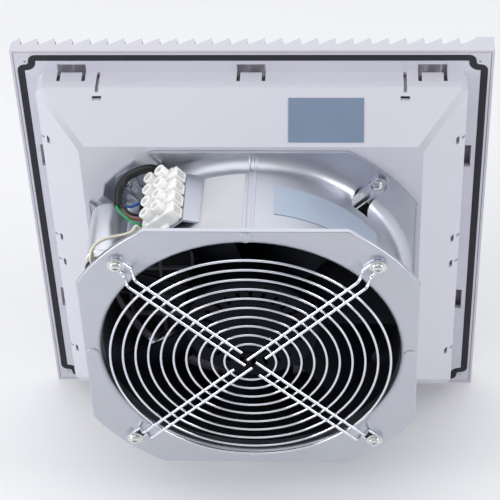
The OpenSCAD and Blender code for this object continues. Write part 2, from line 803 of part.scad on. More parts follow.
// Motor carrier: a pressed cross with rimmed arms that leave the round wall through its cut-outs
module carrier_arm() {
    start = stator_flange_r - 6;
    rim_start = stator_flange_r + 3;
    translate([start, -arm_w/2, arm_back]) cube([eye_dist - start, arm_w, arm_t]);
    for (side = [-1, 1]) translate([rim_start, side*(arm_w - rim_w)/2 - rim_w/2, arm_back])
        cube([(side > 0 ? eye_dist : eye_dist - eye_r - 2) - rim_start, rim_w, arm_t + arm_rim]);
    translate([eye_dist, 0, arm_back]) {
        linear_extrude(arm_t) eye_outline(0);
        linear_extrude(arm_t + arm_rim) difference() {
            eye_outline(0);
            eye_outline(rim_w);
            translate([-far, -far]) square([far, far + arm_w/2 - rim_w - 0.5]);
        }
    }
}

// The eye is cut off straight on the side where the arm's rim runs on round it
module eye_outline(inset) {
    intersection() {
        circle(eye_r - inset);
        translate([-far, -far]) square([2*far, far + arm_w/2 - inset]);
    }
}

module motor_carrier() color("darkgray") installed() {
    difference() {
        union() {
            four_ways() rotate([0, 0, 45]) carrier_arm();
            translate([0, 0, arm_back]) cylinder(r = stator_flange_r - 2, h = arm_t);
        }
        translate([0, 0, arm_back - 1]) cylinder(r = 12, h = arm_t + 2);
        at_screws() translate([0, 0, arm_back - 1]) cylinder(r = screw_hole, h = arm_t + 2);
        at_screws() ring(4.9, 5.6, arm_front - 0.3, arm_front + 1);
        at_flange_screws() translate([0, 0, arm_back - 1]) cylinder(r = 1.7, h = arm_t + 2);
    }
}

module at_flange_screws() {
    four_ways() translate([stator_flange_r - 9, 0, 0]) children();
}

module stator_flange() color("darkgray") installed() {
    difference() {
        union() {
            translate([0, 0, flange_back]) cylinder(r = stator_flange_r, h = stator_flange_t);
            translate([0, 0, flange_back]) cylinder(r = tube_r, h = tube_front - flange_back);
            for (k = [0:15]) rotate([0, 0, 22.5*k + 11.25])
                translate([tube_r, -0.8, flange_front - eps]) cube([stator_flange_r - tube_r - 2, 1.6, 3]);
        }
        translate([0, 0, flange_back - 1]) cylinder(r = bearing_d/2 - 2, h = tube_front - flange_back + 2);
        translate([0, 0, rear_bearing]) cylinder(r = bearing_seat, h = tube_front);
        at_flange_screws() translate([0, 0, flange_back - 1]) cylinder(r = 1.52, h = 5);
    }
}

module flange_screws() color("silver") installed() {
    at_flange_screws() translate([0, 0, arm_back - 0.02]) mirror([0, 0, 1]) pan_screw(1.5, 4.5, 2.8, 1.1);
}

module stator_stack() color("dimgray") installed() {
    difference() {
        ring(stack_bore, stator_r, stack_back, stack_front);
        for (k = [0:tooth_count - 1]) rotate([0, 0, 360/tooth_count*k]) {
            translate([stator_r - slot_depth - 1, -3.4, stack_back - 1]) cube([slot_depth - 2, 6.8, stator_h + 2]);
            translate([stator_r - 4, -1, stack_back - 1]) cube([6, 2, stator_h + 2]);
        }
    }
}

module stator_windings() color("peru") installed() {
    for (k = [0:tooth_count - 1]) rotate([0, 0, 360/tooth_count*k])
        translate([stator_r - slot_depth - 0.6, -3, stack_back - 2]) cube([slot_depth - 3.2, 6, stator_h + 4]);
    for (z = [[stack_back - 5.5, stack_back - 0.3], [stack_front + 0.3, stack_front + 5.5]])
        ring(stator_r - slot_depth - 1, stator_r - 3, z[0], z[1]);
}

module at_bearings() {
    for (z = [rear_bearing, front_bearing]) translate([0, 0, z]) children();
}

module race_groove() {
    translate([0, 0, bearing_w/2]) rotate_extrude() translate([ball_mid, 0]) circle(groove_r, $fn = 32);
}

module bearing_outer_races() color("silver") installed() {
    at_bearings() difference() {
        ring(outer_race_r, bearing_d/2, 0, bearing_w);
        race_groove();
    }
}

module bearing_inner_races() color("silver") installed() {
    at_bearings() difference() {
        ring(shaft_r + shaft_fit, inner_race_r, 0, bearing_w);
        race_groove();
    }
}

module bearing_balls() color("silver") installed() {
    at_bearings() for (k = [0:ball_count - 1]) rotate([0, 0, 360/ball_count*k])
        translate([ball_mid, 0, bearing_w/2]) sphere(ball_r, $fn = 24);
}

module shaft() color("silver") installed() {
    difference() {
        translate([0, 0, rear_bearing - 3.5]) cylinder(r = shaft_r, h = rotor_front - rear_bearing + 3);
        ring(shaft_r - 0.5, shaft_r + 1, rear_bearing - 1.4, rear_bearing - 0.4);
    }
}

module shaft_circlip() color("dimgray") installed() {
    difference() {
        ring(shaft_r - 0.45, shaft_r + 2, rear_bearing - 1.3, rear_bearing - 0.5);
        translate([-0.8, 0, rear_bearing - 3]) cube([1.6, 10, 4]);
    }
}

module rotor_bell() color("black") installed() {
    difference() {
        union() {
            ring(rotor_r - rotor_wall, rotor_r, rotor_back, rotor_front - 2);
            translate([0, 0, rotor_front - 2]) ring(0.5, rotor_r - 2, 0, 2);
            translate([0, 0, rotor_front - 2]) rotate_extrude() intersection() {
                translate([rotor_r - 2, 0]) circle(2, $fn = 32);
                translate([rotor_r - 2 - eps, -eps]) square(3);
            }
            translate([0, 0, rotor_front - 9]) cylinder(r = shaft_r + 4, h = 8);
        }
        translate([0, 0, rotor_front - 9.5]) cylinder(r = shaft_r + 0.02, h = 9.3);
        translate([0, 0, rotor_front - 0.8]) cylinder(r = 24, h = 2);
        for (k = [0:slot_count - 1]) rotate([0, 0, 360/slot_count*k])
            translate([28, -1.4, rotor_front - 4]) cube([8, 2.8, 6]);
    }
}

module rotor_cage() color("dimgray") installed() {
    ring(cage_in, cage_out, stack_back - 1, stack_front + 1);
}

// Impeller: rolled sheet blades, trimmed to a swept outline, on a sleeve round the rotor bell
module blade_outline() {
    half_span = blade_span/2;
    reach = tip_r + 30;
    difference() {
        intersection() {
            circle(tip_r, $fn = 128);
            polygon([[0, 0],
                sleeve_in*[cos(half_span), sin(half_span)],
                reach*[cos(half_span + blade_sweep), sin(half_span + blade_sweep)],
                reach*[cos(half_span - blade_sweep), -sin(half_span - blade_sweep)],
                sleeve_in*[cos(half_span), -sin(half_span)]]);
        }
        circle(sleeve_in + 0.6, $fn = 128);
    }
}

module blade() {
    intersection() {
        translate([0, 0, -blade_room]) linear_extrude(2*blade_room) blade_outline();
        rotate([-blade_angle, 0, 0]) translate([0, 0, -camber_r]) rotate([0, 90, 0]) difference() {
            cylinder(r = camber_r + blade_t/2, h = 2*far/3, center = true, $fn = 128);
            cylinder(r = camber_r - blade_t/2, h = far, center = true, $fn = 128);
        }
    }
}

module impeller() color("black") installed() {
    translate([0, 0, blade_mid]) {
        ring(sleeve_in, sleeve_out, -sleeve_h/2, sleeve_h/2);
        for (k = [0:blade_count - 1]) rotate([0, 0, blade_phase + 360/blade_count*k]) blade();
    }
}

// Capacitor on its stud, held through the shelf by a nut
module at_can() {
    translate([-can_x, can_y, 0]) children();
}

module capacitor_can() color("gainsboro") installed() at_can() {
    translate([0, 0, can_start]) rotate_extrude() difference() {
        union() {
            square([can_d/2 - 3, can_len]);
            translate([0, 3]) square([can_d/2, can_len - 3]);
            translate([can_d/2 - 3, 3]) circle(3, $fn = 48);
        }
        translate([can_d/2 + 0.4, can_len - 5]) circle(1.2, $fn = 32);
        translate([0, can_len - 1]) square([can_d/2 - 1, 2]);
    }
    translate([0, 0, can_seat + 0.02]) cylinder(r = 6, h = can_start - can_seat);
    translate([0, 0, can_seat - 8.2]) cylinder(r = stud_r, h = 9);
}

module capacitor_nut() color("silver") installed() at_can() translate([0, 0, can_seat - sheet_t - 5.02])
    rotate([0, 0, 135]) difference() {
        cylinder(r = 6.6, h = 5, $fn = 6);
        translate([0, 0, -1]) cylinder(r = stud_r + 0.02, h = 7);
    }

module capacitor_lid() color("dimgray") installed() at_can() translate([0, 0, can_start + can_len - 0.98]) {
    cylinder(r = can_d/2 - 1.05, h = 2.6);
    rotate([0, 0, lug_turn]) for (side = [-1, 1]) translate([side*lug_gap/2 - 0.4, -3.2, 2])
        cube([0.8, 6.4, lug_h]);
}

module capacitor_leads() color("ivory") installed() for (lead = [LEAD, LEAD_BEHIND]) tube(lead, wire_d);
module motor_cable() color("black") installed() tube(CABLE, cable_d, 10);
module wire_blue() color("royalblue") installed() tube(BLUE, wire_d);
module wire_black() color("black") installed() tube(BLACK, wire_d);
module wire_brown() color("sienna") installed() tube(BROWN, wire_d);
module wire_earth() color("limegreen") installed() tube(GREEN, wire_d);

// Terminal strip, drawn in its own frame: x along a pole, y up from its base, z along the strip
module on_strip() {
    translate([strip_x, strip_y, strip_start]) rotate([0, 0, strip_lean]) children();
}

module at_poles() {
    for (k = [0:pole_count - 1]) translate([0, 0, (k + 0.5)*pole_pitch]) children();
}

module along_pole(x0, x1, r) {
    translate([x0, 0, 0]) rotate([0, 90, 0]) cylinder(r = r, h = x1 - x0);
}

module at_towers() {
    for (x = [-tower_in, -tower_out]) translate([x, 0, 0]) rotate([-90, 0, 0]) children();
}

module pole() {
    difference() {
        union() {
            translate([-pole_len + hood, 0, -pole_body/2]) cube([pole_len - 2*hood, pole_h, pole_body]);
            translate([-pole_len, 0.6, -pole_body/2 + 0.5]) cube([pole_len, pole_h - 1.2, pole_body - 1]);
            at_towers() translate([0, 0, 1]) cylinder(d = tower_d, h = tower_h - 1);
        }
        translate([0, entry_h, 0]) along_pole(-pole_len - 1, 1, clamp_r + 0.05);
        for (x = [-pole_len - 1, -hood + 0.6]) translate([x, entry_h - 3.1, -3.1]) cube([hood + 0.4, 6.2, 6.2]);
        at_towers() translate([0, 0, entry_h]) cylinder(r = 2.75, h = tower_h);
    }
}

module terminal_block() color("white") installed() on_strip() difference() {
    union() {
        at_poles() pole();
        translate([-pole_len/2 - 4.2, 0, 1]) cube([8.4, 4, strip_len - 2]);
        translate([-pole_len/2 - 3, 0.8, strip_len - 2]) cube([6, 2.6, 2 + break_rib]);
    }
    at_poles() translate([0, entry_h, 0]) along_pole(-pole_len - 1, 1, clamp_r + 0.05);
    translate([-pole_len/2, -1, strip_len/2]) rotate([-90, 0, 0]) {
        cylinder(r = 1.7, h = 8);
        translate([0, 0, 5]) cylinder(r = fixing_head + 0.2, h = pole_h);
    }
}

module terminal_clamps() color("gold") installed() on_strip() at_poles() difference() {
    translate([0, entry_h, 0]) along_pole(-pole_len + hood + 1.4, -hood - 1.4, clamp_r);
    translate([0, entry_h, 0]) along_pole(-pole_len, 0, 1.7);
    at_towers() translate([0, 0, entry_h]) cylinder(r = 1.52, h = 6);
}

module terminal_screws() color("gold") installed() on_strip() at_poles() at_towers()
    difference() {
        union() {
            translate([0, 0, entry_h + 0.4]) cylinder(r = 1.5, h = 6);
            translate([0, 0, entry_h + 6]) cylinder(r = 2.5, h = 2.2);
        }
        translate([-3, -0.4, entry_h + 7.4]) cube([6, 0.8, 2]);
    }

module terminal_bracket() color("darkgray") installed() difference() {
    on_strip() {
        translate([-pole_len, -1.2, 0.5]) cube([pole_len, 1.2 - 0.02, strip_len - 1]);
        translate([-pole_len, -8, 0.5]) cube([1.2, 8 - 0.02, strip_len - 1]);
        translate([0, 0, 0.5]) linear_extrude(strip_len - 1)
            polygon([[-1.2, -0.02], [0.1, -0.02], [6.6, -8.6], [5.2, -9.2], [-1.2, -1.2]]);
    }
    translate([0, 0, fan_back]) cylinder(r = wall_out + 0.05, h = fan_depth, $fn = 128);
    on_strip() translate([-pole_len/2, -3, strip_len/2]) rotate([-90, 0, 0]) cylinder(r = 1.52, h = 8);
}

module terminal_fixing_screw() color("silver") installed() on_strip()
    translate([-pole_len/2, 4.02, strip_len/2]) rotate([-90, 0, 0]) pan_screw(1.5, 5, fixing_head, 1.8);

// Blank plates: one on the housing slope, two rolled round the fan wall
module housing_plate() color("lightslategray") installed()
    translate([plate_side, half_wall, wall_depth]) rotate([-slope_angle, 0, 0])
        translate([0, -plate_h - plate_edge, 0.02]) cube([plate_w, plate_h, foil_t]);

module rolled_foil(from, to, z0, z1) {
    rotate([0, 0, from]) rotate_extrude(angle = to - from, $fn = 128) translate([wall_out + 0.02, z0])
        square([foil_t, z1 - z0]);
}

module frame_label() color("white") installed()
    rolled_foil(label_from, label_to, fan_back + label_edge, fan_front - label_edge);

module frame_plate() color("lightsteelblue") installed()
    rolled_foil(silver_from, silver_to, fan_back + silver_edge, fan_back + silver_edge + silver_w);

louvre_grille();
filter_mat();
housing();
gasket();
fan_frame();
fan_mount_screws();
finger_guard();
guard_washers();
guard_screws();
motor_carrier();
stator_flange();
stator_stack();
stator_windings();
flange_screws();
bearing_outer_races();
bearing_balls();
bearing_inner_races();
shaft();
shaft_circlip();
rotor_bell();
rotor_cage();
impeller();
capacitor_can();
capacitor_nut();
capacitor_lid();
capacitor_leads();
motor_cable();
wire_blue();
wire_black();
wire_brown();
wire_earth();
terminal_block();
terminal_clamps();
terminal_screws();
terminal_bracket();
terminal_fixing_screw();
housing_plate();
frame_label();
frame_plate();
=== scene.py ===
# %% [markdown]
# # Filter fan unit
# A louvre grille and a plastic housing sit in the wall of a cabinet, and a metal axial fan is screwed to
# the housing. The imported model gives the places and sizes. This lesson gives each surface its look, and
# remodels the pieces whose real shape is rounder than a turned or cut solid. The scene is in metres, and
# the fan's axis lies along Y.

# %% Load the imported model
import json
import math

import bmesh
import bpy
from mathutils import Matrix, Vector

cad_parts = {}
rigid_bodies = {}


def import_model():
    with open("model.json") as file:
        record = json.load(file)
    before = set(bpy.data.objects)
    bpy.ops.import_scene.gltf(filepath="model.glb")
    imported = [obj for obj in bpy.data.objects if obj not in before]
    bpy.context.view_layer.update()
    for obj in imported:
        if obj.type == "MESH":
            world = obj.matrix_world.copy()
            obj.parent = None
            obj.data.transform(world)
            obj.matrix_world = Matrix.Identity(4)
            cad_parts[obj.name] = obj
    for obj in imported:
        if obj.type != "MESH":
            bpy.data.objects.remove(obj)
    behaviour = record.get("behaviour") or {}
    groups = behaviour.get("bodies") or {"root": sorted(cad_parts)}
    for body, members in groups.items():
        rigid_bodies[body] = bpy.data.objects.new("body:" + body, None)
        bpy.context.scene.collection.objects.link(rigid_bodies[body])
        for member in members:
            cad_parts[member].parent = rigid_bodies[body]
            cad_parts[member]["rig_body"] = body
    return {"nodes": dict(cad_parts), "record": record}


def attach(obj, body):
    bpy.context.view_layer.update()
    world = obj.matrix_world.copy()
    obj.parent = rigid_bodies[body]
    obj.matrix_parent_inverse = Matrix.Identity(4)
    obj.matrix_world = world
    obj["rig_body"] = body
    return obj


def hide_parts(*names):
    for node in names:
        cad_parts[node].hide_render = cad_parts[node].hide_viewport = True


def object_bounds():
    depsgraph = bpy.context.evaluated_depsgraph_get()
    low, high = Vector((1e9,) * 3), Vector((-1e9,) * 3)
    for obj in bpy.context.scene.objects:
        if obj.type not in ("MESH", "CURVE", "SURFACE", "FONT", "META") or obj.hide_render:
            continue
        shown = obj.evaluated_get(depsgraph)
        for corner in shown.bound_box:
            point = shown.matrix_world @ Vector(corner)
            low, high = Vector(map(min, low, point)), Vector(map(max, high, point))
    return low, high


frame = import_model()
cad_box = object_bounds()
nodes = frame["nodes"]
mm = 0.001
print("nodes:", len(nodes))


def at(right, up, depth):
    """A place in mm, seen from inside the cabinet: right, up, and from the panel face towards the viewer."""
    return Vector((right, -depth, up))*mm


# %% [markdown]
# ## Camera
# The photograph is taken from in front and well above. The camera is worked out from where the corners of
# the plates and of the housing lie in the picture, so that the render can be laid over it. A long lens
# keeps the squares square.

# %% Camera
picture = 500
focal = 1855.6
turn, lift, roll = math.radians(4.06), math.radians(43.34), math.radians(-2.52)
aim, far_off = Vector((-1.91, -60, 35.99))*mm, 1274*mm

back = Vector((math.sin(turn)*math.cos(lift), -math.cos(turn)*math.cos(lift), math.sin(lift)))
level = Vector((math.cos(turn), math.sin(turn), 0))
upright = back.cross(level)
right = level*math.cos(roll) + upright*math.sin(roll)
top = upright*math.cos(roll) - level*math.sin(roll)

lens = bpy.data.cameras.new("camera")
lens.sensor_width = 36
lens.lens = focal/picture*lens.sensor_width
lens.clip_start, lens.clip_end = 0.05, 50
camera = bpy.data.objects.new("camera", lens)
camera.matrix_world = Matrix((right, top, back)).transposed().to_4x4()
camera.matrix_world.translation = aim + back*far_off
bpy.context.scene.collection.objects.link(camera)
bpy.context.scene.camera = camera
print("lens:", round(lens.lens, 1), "mm")

# %% [markdown]
# ## Light and floor
# The object stands on a plain white table in a soft white room. A large soft lamp above gives the sheet
# metal its bright bands, one at each side keeps the flanks readable, one behind lightens the slopes that
# face away, and the white world fills the shadows.

# %% Room and lamps
scene = bpy.context.scene
scene.view_settings.view_transform = "Standard"
world = bpy.data.worlds.new("room")
world.use_nodes = True
room = world.node_tree.nodes["Background"]
room.inputs["Color"].default_value = (0.93, 0.95, 1.0, 1)
room.inputs["Strength"].default_value = 0.45
scene.world = world
fan_middle = Vector((0, -0.06, 0))


def lamp(name, place, size, power):
    """A soft rectangular lamp that looks at the middle of the fan."""
    data = bpy.data.lights.new(name, "AREA")
    data.shape, data.energy = "RECTANGLE", power
    data.size, data.size_y = size
    lamp_object = bpy.data.objects.new(name, data)
    lamp_object.location = place
    lamp_object.rotation_euler = (Vector(place) - fan_middle).to_track_quat("Z", "Y").to_euler()
    scene.collection.objects.link(lamp_object)


lamp("lamp_above", place=(-0.35, -0.35, 1.5), size=(1.8, 1.6), power=10)
lamp("lamp_left", place=(-1.4, -0.7, 0.5), size=(0.5, 0.9), power=11.5)
lamp("lamp_right", place=(1.4, -0.5, 0.6), size=(0.5, 0.9), power=9)
lamp("lamp_behind", place=(0.2, 1.6, 1.5), size=(4.5, 1.8), power=25)
print("lamps:", len(bpy.data.lights))


# %% Floor
def as_mesh(bm, name="blank"):
    """Turns a bmesh into a mesh and frees it."""
    mesh = bpy.data.meshes.new(name)
    bm.to_mesh(mesh)
    bm.free()
    return mesh


floor_gap, floor_half = 0.2*mm, 20
table_top = cad_box[0][2] - floor_gap
table = bmesh.new()
bmesh.ops.create_grid(table, x_segments=1, y_segments=1, size=floor_half)
bmesh.ops.translate(table, verts=table.verts, vec=(0, 0, table_top))
floor = bpy.data.objects.new("floor", as_mesh(table, "floor"))
table_white = bpy.data.materials.new("table_white")
table_white.use_nodes = True
table_shader = table_white.node_tree.nodes["Principled BSDF"]
table_shader.inputs["Base Color"].default_value = (0.82, 0.82, 0.83, 1)
table_shader.inputs["Roughness"].default_value = 0.6
floor.data.materials.append(table_white)
scene.collection.objects.link(floor)
print("floor at", round(table_top, 4))

# %% [markdown]
# ## Shader maths
# Every finish below is built from nodes. Writing the node maths as plain expressions keeps it readable, so
# a socket is wrapped in a small class that adds a Math node for each operator. A finish is a class that
# adds the other nodes and keeps itself in a table under its name, where the pieces find it.

# %% Sockets and finishes
finishes = {}


class Flow:
    """A number that varies over a surface: the output socket of a node."""

    def __init__(self, finish, socket):
        self.finish, self.socket = finish, socket

    def maths(self, operation, first, second):
        """Adds a Math node to the finish."""
        return self.finish.add("Math", {"operation": operation}, {0: first, 1: second})

    def __add__(self, other):
        return self.maths("ADD", self, other)

    def __radd__(self, other):
        return self.maths("ADD", other, self)

    def __sub__(self, other):
        return self.maths("SUBTRACT", self, other)

    def __rsub__(self, other):
        return self.maths("SUBTRACT", other, self)

    def __mul__(self, other):
        return self.maths("MULTIPLY", self, other)

    def __rmul__(self, other):
        return self.maths("MULTIPLY", other, self)

    def above(self, level):
        """A mask: 1 above the level, 0 below it."""
        return self.maths("GREATER_THAN", self, level)


class Finish:
    """A material under construction, with Object coordinates to draw its patterns on."""

    def __init__(self, name, **shader):
        self.material = bpy.data.materials.new(name)
        self.material.use_nodes = True
        self.tree = self.material.node_tree
        self.shader = self.tree.nodes["Principled BSDF"]
        self.place = self.add("TexCoord", out="Object")
        self.paint(**shader)
        finishes[name] = self

    def add(self, kind, settings=None, values=None, out=0):
        """Adds a node, sets it, feeds its sockets, and gives back one of its outputs."""
        node = self.tree.nodes.new("ShaderNode" + kind)
        for name, value in (settings or {}).items():
            setattr(node, name, value)
        for name, value in (values or {}).items():
            self.feed(node.inputs[name], value)
        return Flow(self, node.outputs[out])

    def feed(self, socket, value):
        """Links a socket to what varies, and sets it to what doesn't."""
        if isinstance(value, Flow):
            self.tree.links.new(value.socket, socket)
        else:
            socket.default_value = value

    def paint(self, **values):
        """Feeds the shader's own sockets, by names such as base_color."""
        for name, value in values.items():
            self.feed(self.shader.inputs[name.replace("_", " ").title().replace("Ior", "IOR")], value)
        return self

    def noise(self, scale, detail, stretch=(1, 1, 1), roughness=0.5):
        """Noise that is drawn out along an axis where the stretch is below 1."""
        place = self.add("Mapping", {}, {"Vector": self.place, "Scale": stretch})
        values = {"Vector": place, "Scale": scale, "Detail": detail, "Roughness": roughness}
        return self.add("TexNoise", {}, values)

    def distance(self, axes):
        """How far a place lies from the origin, counting only the axes that are 1."""
        counted = self.add("VectorMath", {"operation": "MULTIPLY"}, {0: self.place, 1: axes})
        return self.add("VectorMath", {"operation": "LENGTH"}, {0: counted}, out="Value")

    def blend(self, factor, first, second):
        """Mixes two colours, whose sockets on the Mix node come after those for numbers and vectors."""
        return self.add("Mix", {"data_type": "RGBA"}, {0: factor, 6: first, 7: second}, out=2)

    def bump(self, height, distance):
        """Lifts the surface in shading only, by the distance in metres where the height is 1."""
        values = {"Height": height, "Distance": distance, "Strength": 1}
        self.feed(self.shader.inputs["Normal"], self.add("Bump", {}, values, out="Normal"))
        return self


def srgb(red, green, blue):
    """A colour given as in a paint program, turned into the linear values that shaders use."""
    parts = [c/255 for c in (red, green, blue)]
    return (*[c/12.92 if c <= 0.04045 else ((c + 0.055)/1.055)**2.4 for c in parts], 1)


def darkened(colour, share):
    """The colour with each channel brought down to a share of itself."""
    return (*[c*share for c in colour[:3]], 1)


print("middle grey:", [round(c, 3) for c in srgb(128, 128, 128)])

# %% [markdown]
# ## Plastics
# The grille and the housing are moulded from the same pale grey plastic with a breath of violet. Moulded
# plastic isn't even: it has a fine spark-eroded grain, and a slow change of gloss where the melt cooled at
# different speeds. Both are kept small, so that they show as softness in the highlights and not as a
# pattern. The terminal strip is milky, so light also scatters a few millimetres into it.


# %% Plastics
def moulded(name, colour, gloss):
    """Slow clouds of gloss and shade over a fine grain."""
    finish = Finish(name, ior=1.5)
    cloud = finish.noise(scale=14, detail=2)
    finish.paint(base_color=finish.blend(cloud, darkened(colour, 0.95), colour),
                 roughness=gloss - 0.06 + 0.12*cloud)
    return finish.bump(finish.noise(scale=1900, detail=2), distance=0.00002)


moulded("grille_plastic", srgb(204, 203, 212), 0.4)
moulded("housing_plastic", srgb(207, 206, 217), 0.45)
moulded("lid_plastic", srgb(52, 52, 56), 0.5)
moulded("black_sheath", srgb(12, 12, 15), 0.34)
moulded("blue_insulation", srgb(36, 100, 172), 0.3)
moulded("black_insulation", srgb(11, 11, 14), 0.3)
moulded("brown_insulation", srgb(134, 84, 60), 0.3)
moulded("green_insulation", srgb(24, 142, 88), 0.3)
moulded("white_insulation", srgb(226, 220, 202), 0.35)
terminal_plastic = moulded("terminal_plastic", srgb(246, 246, 243), 0.3)
terminal_plastic.paint(subsurface_weight=0.8, subsurface_radius=(1, 1, 1), subsurface_scale=0.004)
print("plastics:", len(finishes))

# %% [markdown]
# ## Metals
# The fan frame is galvanised sheet. Its zinc is bright but never polished: rolling leaves fine lines and a
# cloudy gloss, and handling leaves a few scratches. The finish is one metal whose roughness and height
# vary. Inside the round wall, from behind its front lip on, the sheet is painted dark grey: this is painted
# reflection and shade, standing in for the near-black blades that the inside mirrors. Two masks give it
# that, one on the distance from the fan's axis and one on the depth. The guard is bright nickelled wire,
# the screws are zinc plated, and the motor's own metals are seen only from behind.


# %% Metals
def metal(name, colour, gloss, cloud_size, cloudiness, lines=(1, 1, 1), depth=0.000004, fine=900):
    """Clouds of gloss and shade over a fine noise, which lines stretches the way the metal was rolled."""
    finish = Finish(name, metallic=1.0)
    cloud = finish.noise(cloud_size, detail=4, roughness=0.6)
    streaks = finish.noise(fine, detail=3, stretch=lines)
    finish.base = finish.blend(cloud, darkened(colour, 0.86), colour)
    finish.paint(base_color=finish.base, roughness=gloss - cloudiness/2 + cloudiness*cloud + 0.08*streaks)
    return finish.bump(streaks, depth)


zinc_sheet = metal("zinc_sheet", srgb(205, 208, 217), 0.34, 28, 0.14, (0.06, 1, 0.06), depth=0.000006)
# The inside of the round wall, behind its lip, is painted dark grey: painted reflection and shade of the
# near-black blades.
painted_shade_r, painted_shade_front = 101.6*mm, 113.5*mm
inside_wall_shade = 1 - zinc_sheet.distance((1, 0, 1)).above(painted_shade_r)
behind_lip_shade = 1 - zinc_sheet.distance((0, 1, 0)).above(painted_shade_front)
zinc_sheet.paint(base_color=zinc_sheet.blend(inside_wall_shade*behind_lip_shade, zinc_sheet.base, srgb(92, 94, 103)))
metal("screw_steel", srgb(230, 231, 230), 0.2, 200, 0.1)
metal("guard_wire", srgb(236, 238, 246), 0.15, 120, 0.1)
metal("carrier_steel", srgb(222, 226, 234), 0.24, 60, 0.12)
metal("cast_flange", srgb(170, 172, 176), 0.5, 300, 0.2, depth=0.00002)
metal("lamination_steel", srgb(120, 122, 128), 0.5, 60, 0.1, (0.02, 1, 0.02), depth=0.00002, fine=2500)
metal("copper_winding", srgb(120, 62, 36), 0.35, 60, 0.1, (0.1, 1, 0.1), depth=0.00004, fine=1600)
metal("bearing_steel", srgb(214, 216, 220), 0.16, 200, 0.06)
metal("spring_steel", srgb(98, 100, 108), 0.35, 200, 0.1)
metal("cage_metal", srgb(150, 152, 156), 0.5, 200, 0.1)
metal("can_aluminium", srgb(234, 237, 244), 0.32, 60, 0.12, (1, 0.05, 1), depth=0.000006)
metal("terminal_brass", srgb(212, 186, 120), 0.3, 200, 0.1)
print("plastics and metals:", len(finishes))

# %% [markdown]
# ## Paint, foam, fleece and foils
# The rotor and its blades wear a near-black satin powder coat with a fine orange peel. The gasket is foamed
# in place, so it has a skin with small pores. The mat is tangled fibre, kept dark grey, because little
# light gets to it between the blades. The three plates are plain foils that lie a little wavy on their
# glue.

# %% Paint, foam and fleece
rotor_paint = Finish("rotor_paint", base_color=srgb(15, 17, 25), ior=1.4, specular_ior_level=0.12)
orange_peel = rotor_paint.noise(scale=420, detail=2)
rotor_paint.paint(roughness=0.3 + 0.18*rotor_paint.noise(scale=18, detail=3))
rotor_paint.bump(orange_peel, distance=0.00004)

gasket_foam = Finish("gasket_foam", base_color=srgb(34, 35, 42), roughness=0.75)
gasket_foam.bump(gasket_foam.noise(scale=1500, detail=4), distance=0.00012)

filter_fleece = Finish("filter_fleece", roughness=0.95)
tangle = filter_fleece.noise(scale=260, detail=8, stretch=(1, 0.3, 1), roughness=0.75)
# The mat's dark grey is painted shade: little light reaches it between the blades.
filter_fleece.paint(base_color=filter_fleece.blend(tangle, srgb(78, 79, 82), srgb(120, 121, 124)))
filter_fleece.bump(tangle, distance=0.0008)
print("with paint, foam and fleece:", len(finishes))


# %% Foils
def foil(name, colour, gloss, shine=0.0):
    """A thin foil that lies a little wavy on its glue."""
    finish = Finish(name, metallic=shine, ior=1.5)
    wave = finish.noise(scale=60, detail=2)
    finish.paint(base_color=finish.blend(wave, darkened(colour, 0.9), colour),
                 roughness=gloss - 0.05 + 0.1*wave)
    return finish.bump(wave, distance=0.00005)


foil("foil_blue", srgb(116, 134, 158), 0.35)
foil("label_white", srgb(206, 205, 211), 0.4)
foil("foil_silver", srgb(178, 190, 208), 0.35, shine=0.35)
print("all finishes:", len(finishes))

# %% [markdown]
# ## Helpers for pieces
# A finished piece is an object at the origin with its place in its mesh. One helper links it and gives it
# its finish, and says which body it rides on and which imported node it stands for. The others are the steps
# that come back below: an outline spun round an axis, an arc in such an outline, shapes joined or copied to
# several places, and an object read back as a bmesh.


# %% Finished pieces
def body_of(node):
    return nodes[node]["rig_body"]


def sharpen(bm, angle):
    """Smooth shading everywhere, with the edges that turn by more than the angle kept sharp."""
    for face in bm.faces:
        face.smooth = True
    for edge in bm.edges:
        edge.smooth = edge.is_manifold and edge.calc_face_angle(0) < math.radians(angle)


def dressed(name, data, slot, node, stands_for=True, weighted=False):
    """Links a mesh or curve as a piece and gives it its finish."""
    piece = bpy.data.objects.new(name, data)
    scene.collection.objects.link(piece)
    data.materials.clear()
    data.materials.append(finishes[slot].material)
    if weighted:
        piece.modifiers.new("even_shading", "WEIGHTED_NORMAL").keep_sharp = True
    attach(piece, body_of(node))
    if stands_for:
        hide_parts(node)
    return piece


def finished(name, bm, slot, node, angle, stands_for=True, weighted=False):
    """Makes the piece from its bmesh."""
    sharpen(bm, angle)
    return dressed(name, as_mesh(bm, name), slot, node, stands_for, weighted)


print("bodies:", sorted({body_of(node) for node in nodes}))


# %% Shapes that come back
def outward(bm):
    """Merges the corners that meet and points the faces outwards."""
    bmesh.ops.remove_doubles(bm, verts=bm.verts, dist=1e-7)
    bmesh.ops.recalc_face_normals(bm, faces=bm.faces)


def arc(centre, radius, start, end, steps):
    """Points on an arc of an outline, between two angles in degrees."""
    angles = [math.radians(start + (end - start)*k/steps) for k in range(steps + 1)]
    return [(centre[0] + radius*math.cos(a), centre[1] + radius*math.sin(a)) for a in angles]


def turned(profile, steps, axis_at=Vector((0, 0, 0))):
    """Spins an outline of (radius, depth) points, in mm, round an axis along Y."""
    bm = bmesh.new()
    points = [bm.verts.new(at(radius, 0, depth)) for radius, depth in profile]
    edges = [bm.edges.new(pair) for pair in zip(points, points[1:])]
    bmesh.ops.spin(bm, geom=points + edges, cent=(0, 0, 0), axis=(0, 1, 0), angle=2*math.pi, steps=steps,
                   use_merge=True)
    outward(bm)
    bmesh.ops.translate(bm, verts=bm.verts, vec=axis_at)
    return bm


def joined(shapes):
    """Puts several bmeshes into one."""
    whole = bmesh.new()
    for bm in shapes:
        mesh = as_mesh(bm)
        whole.from_mesh(mesh)
        bpy.data.meshes.remove(mesh)
    return whole


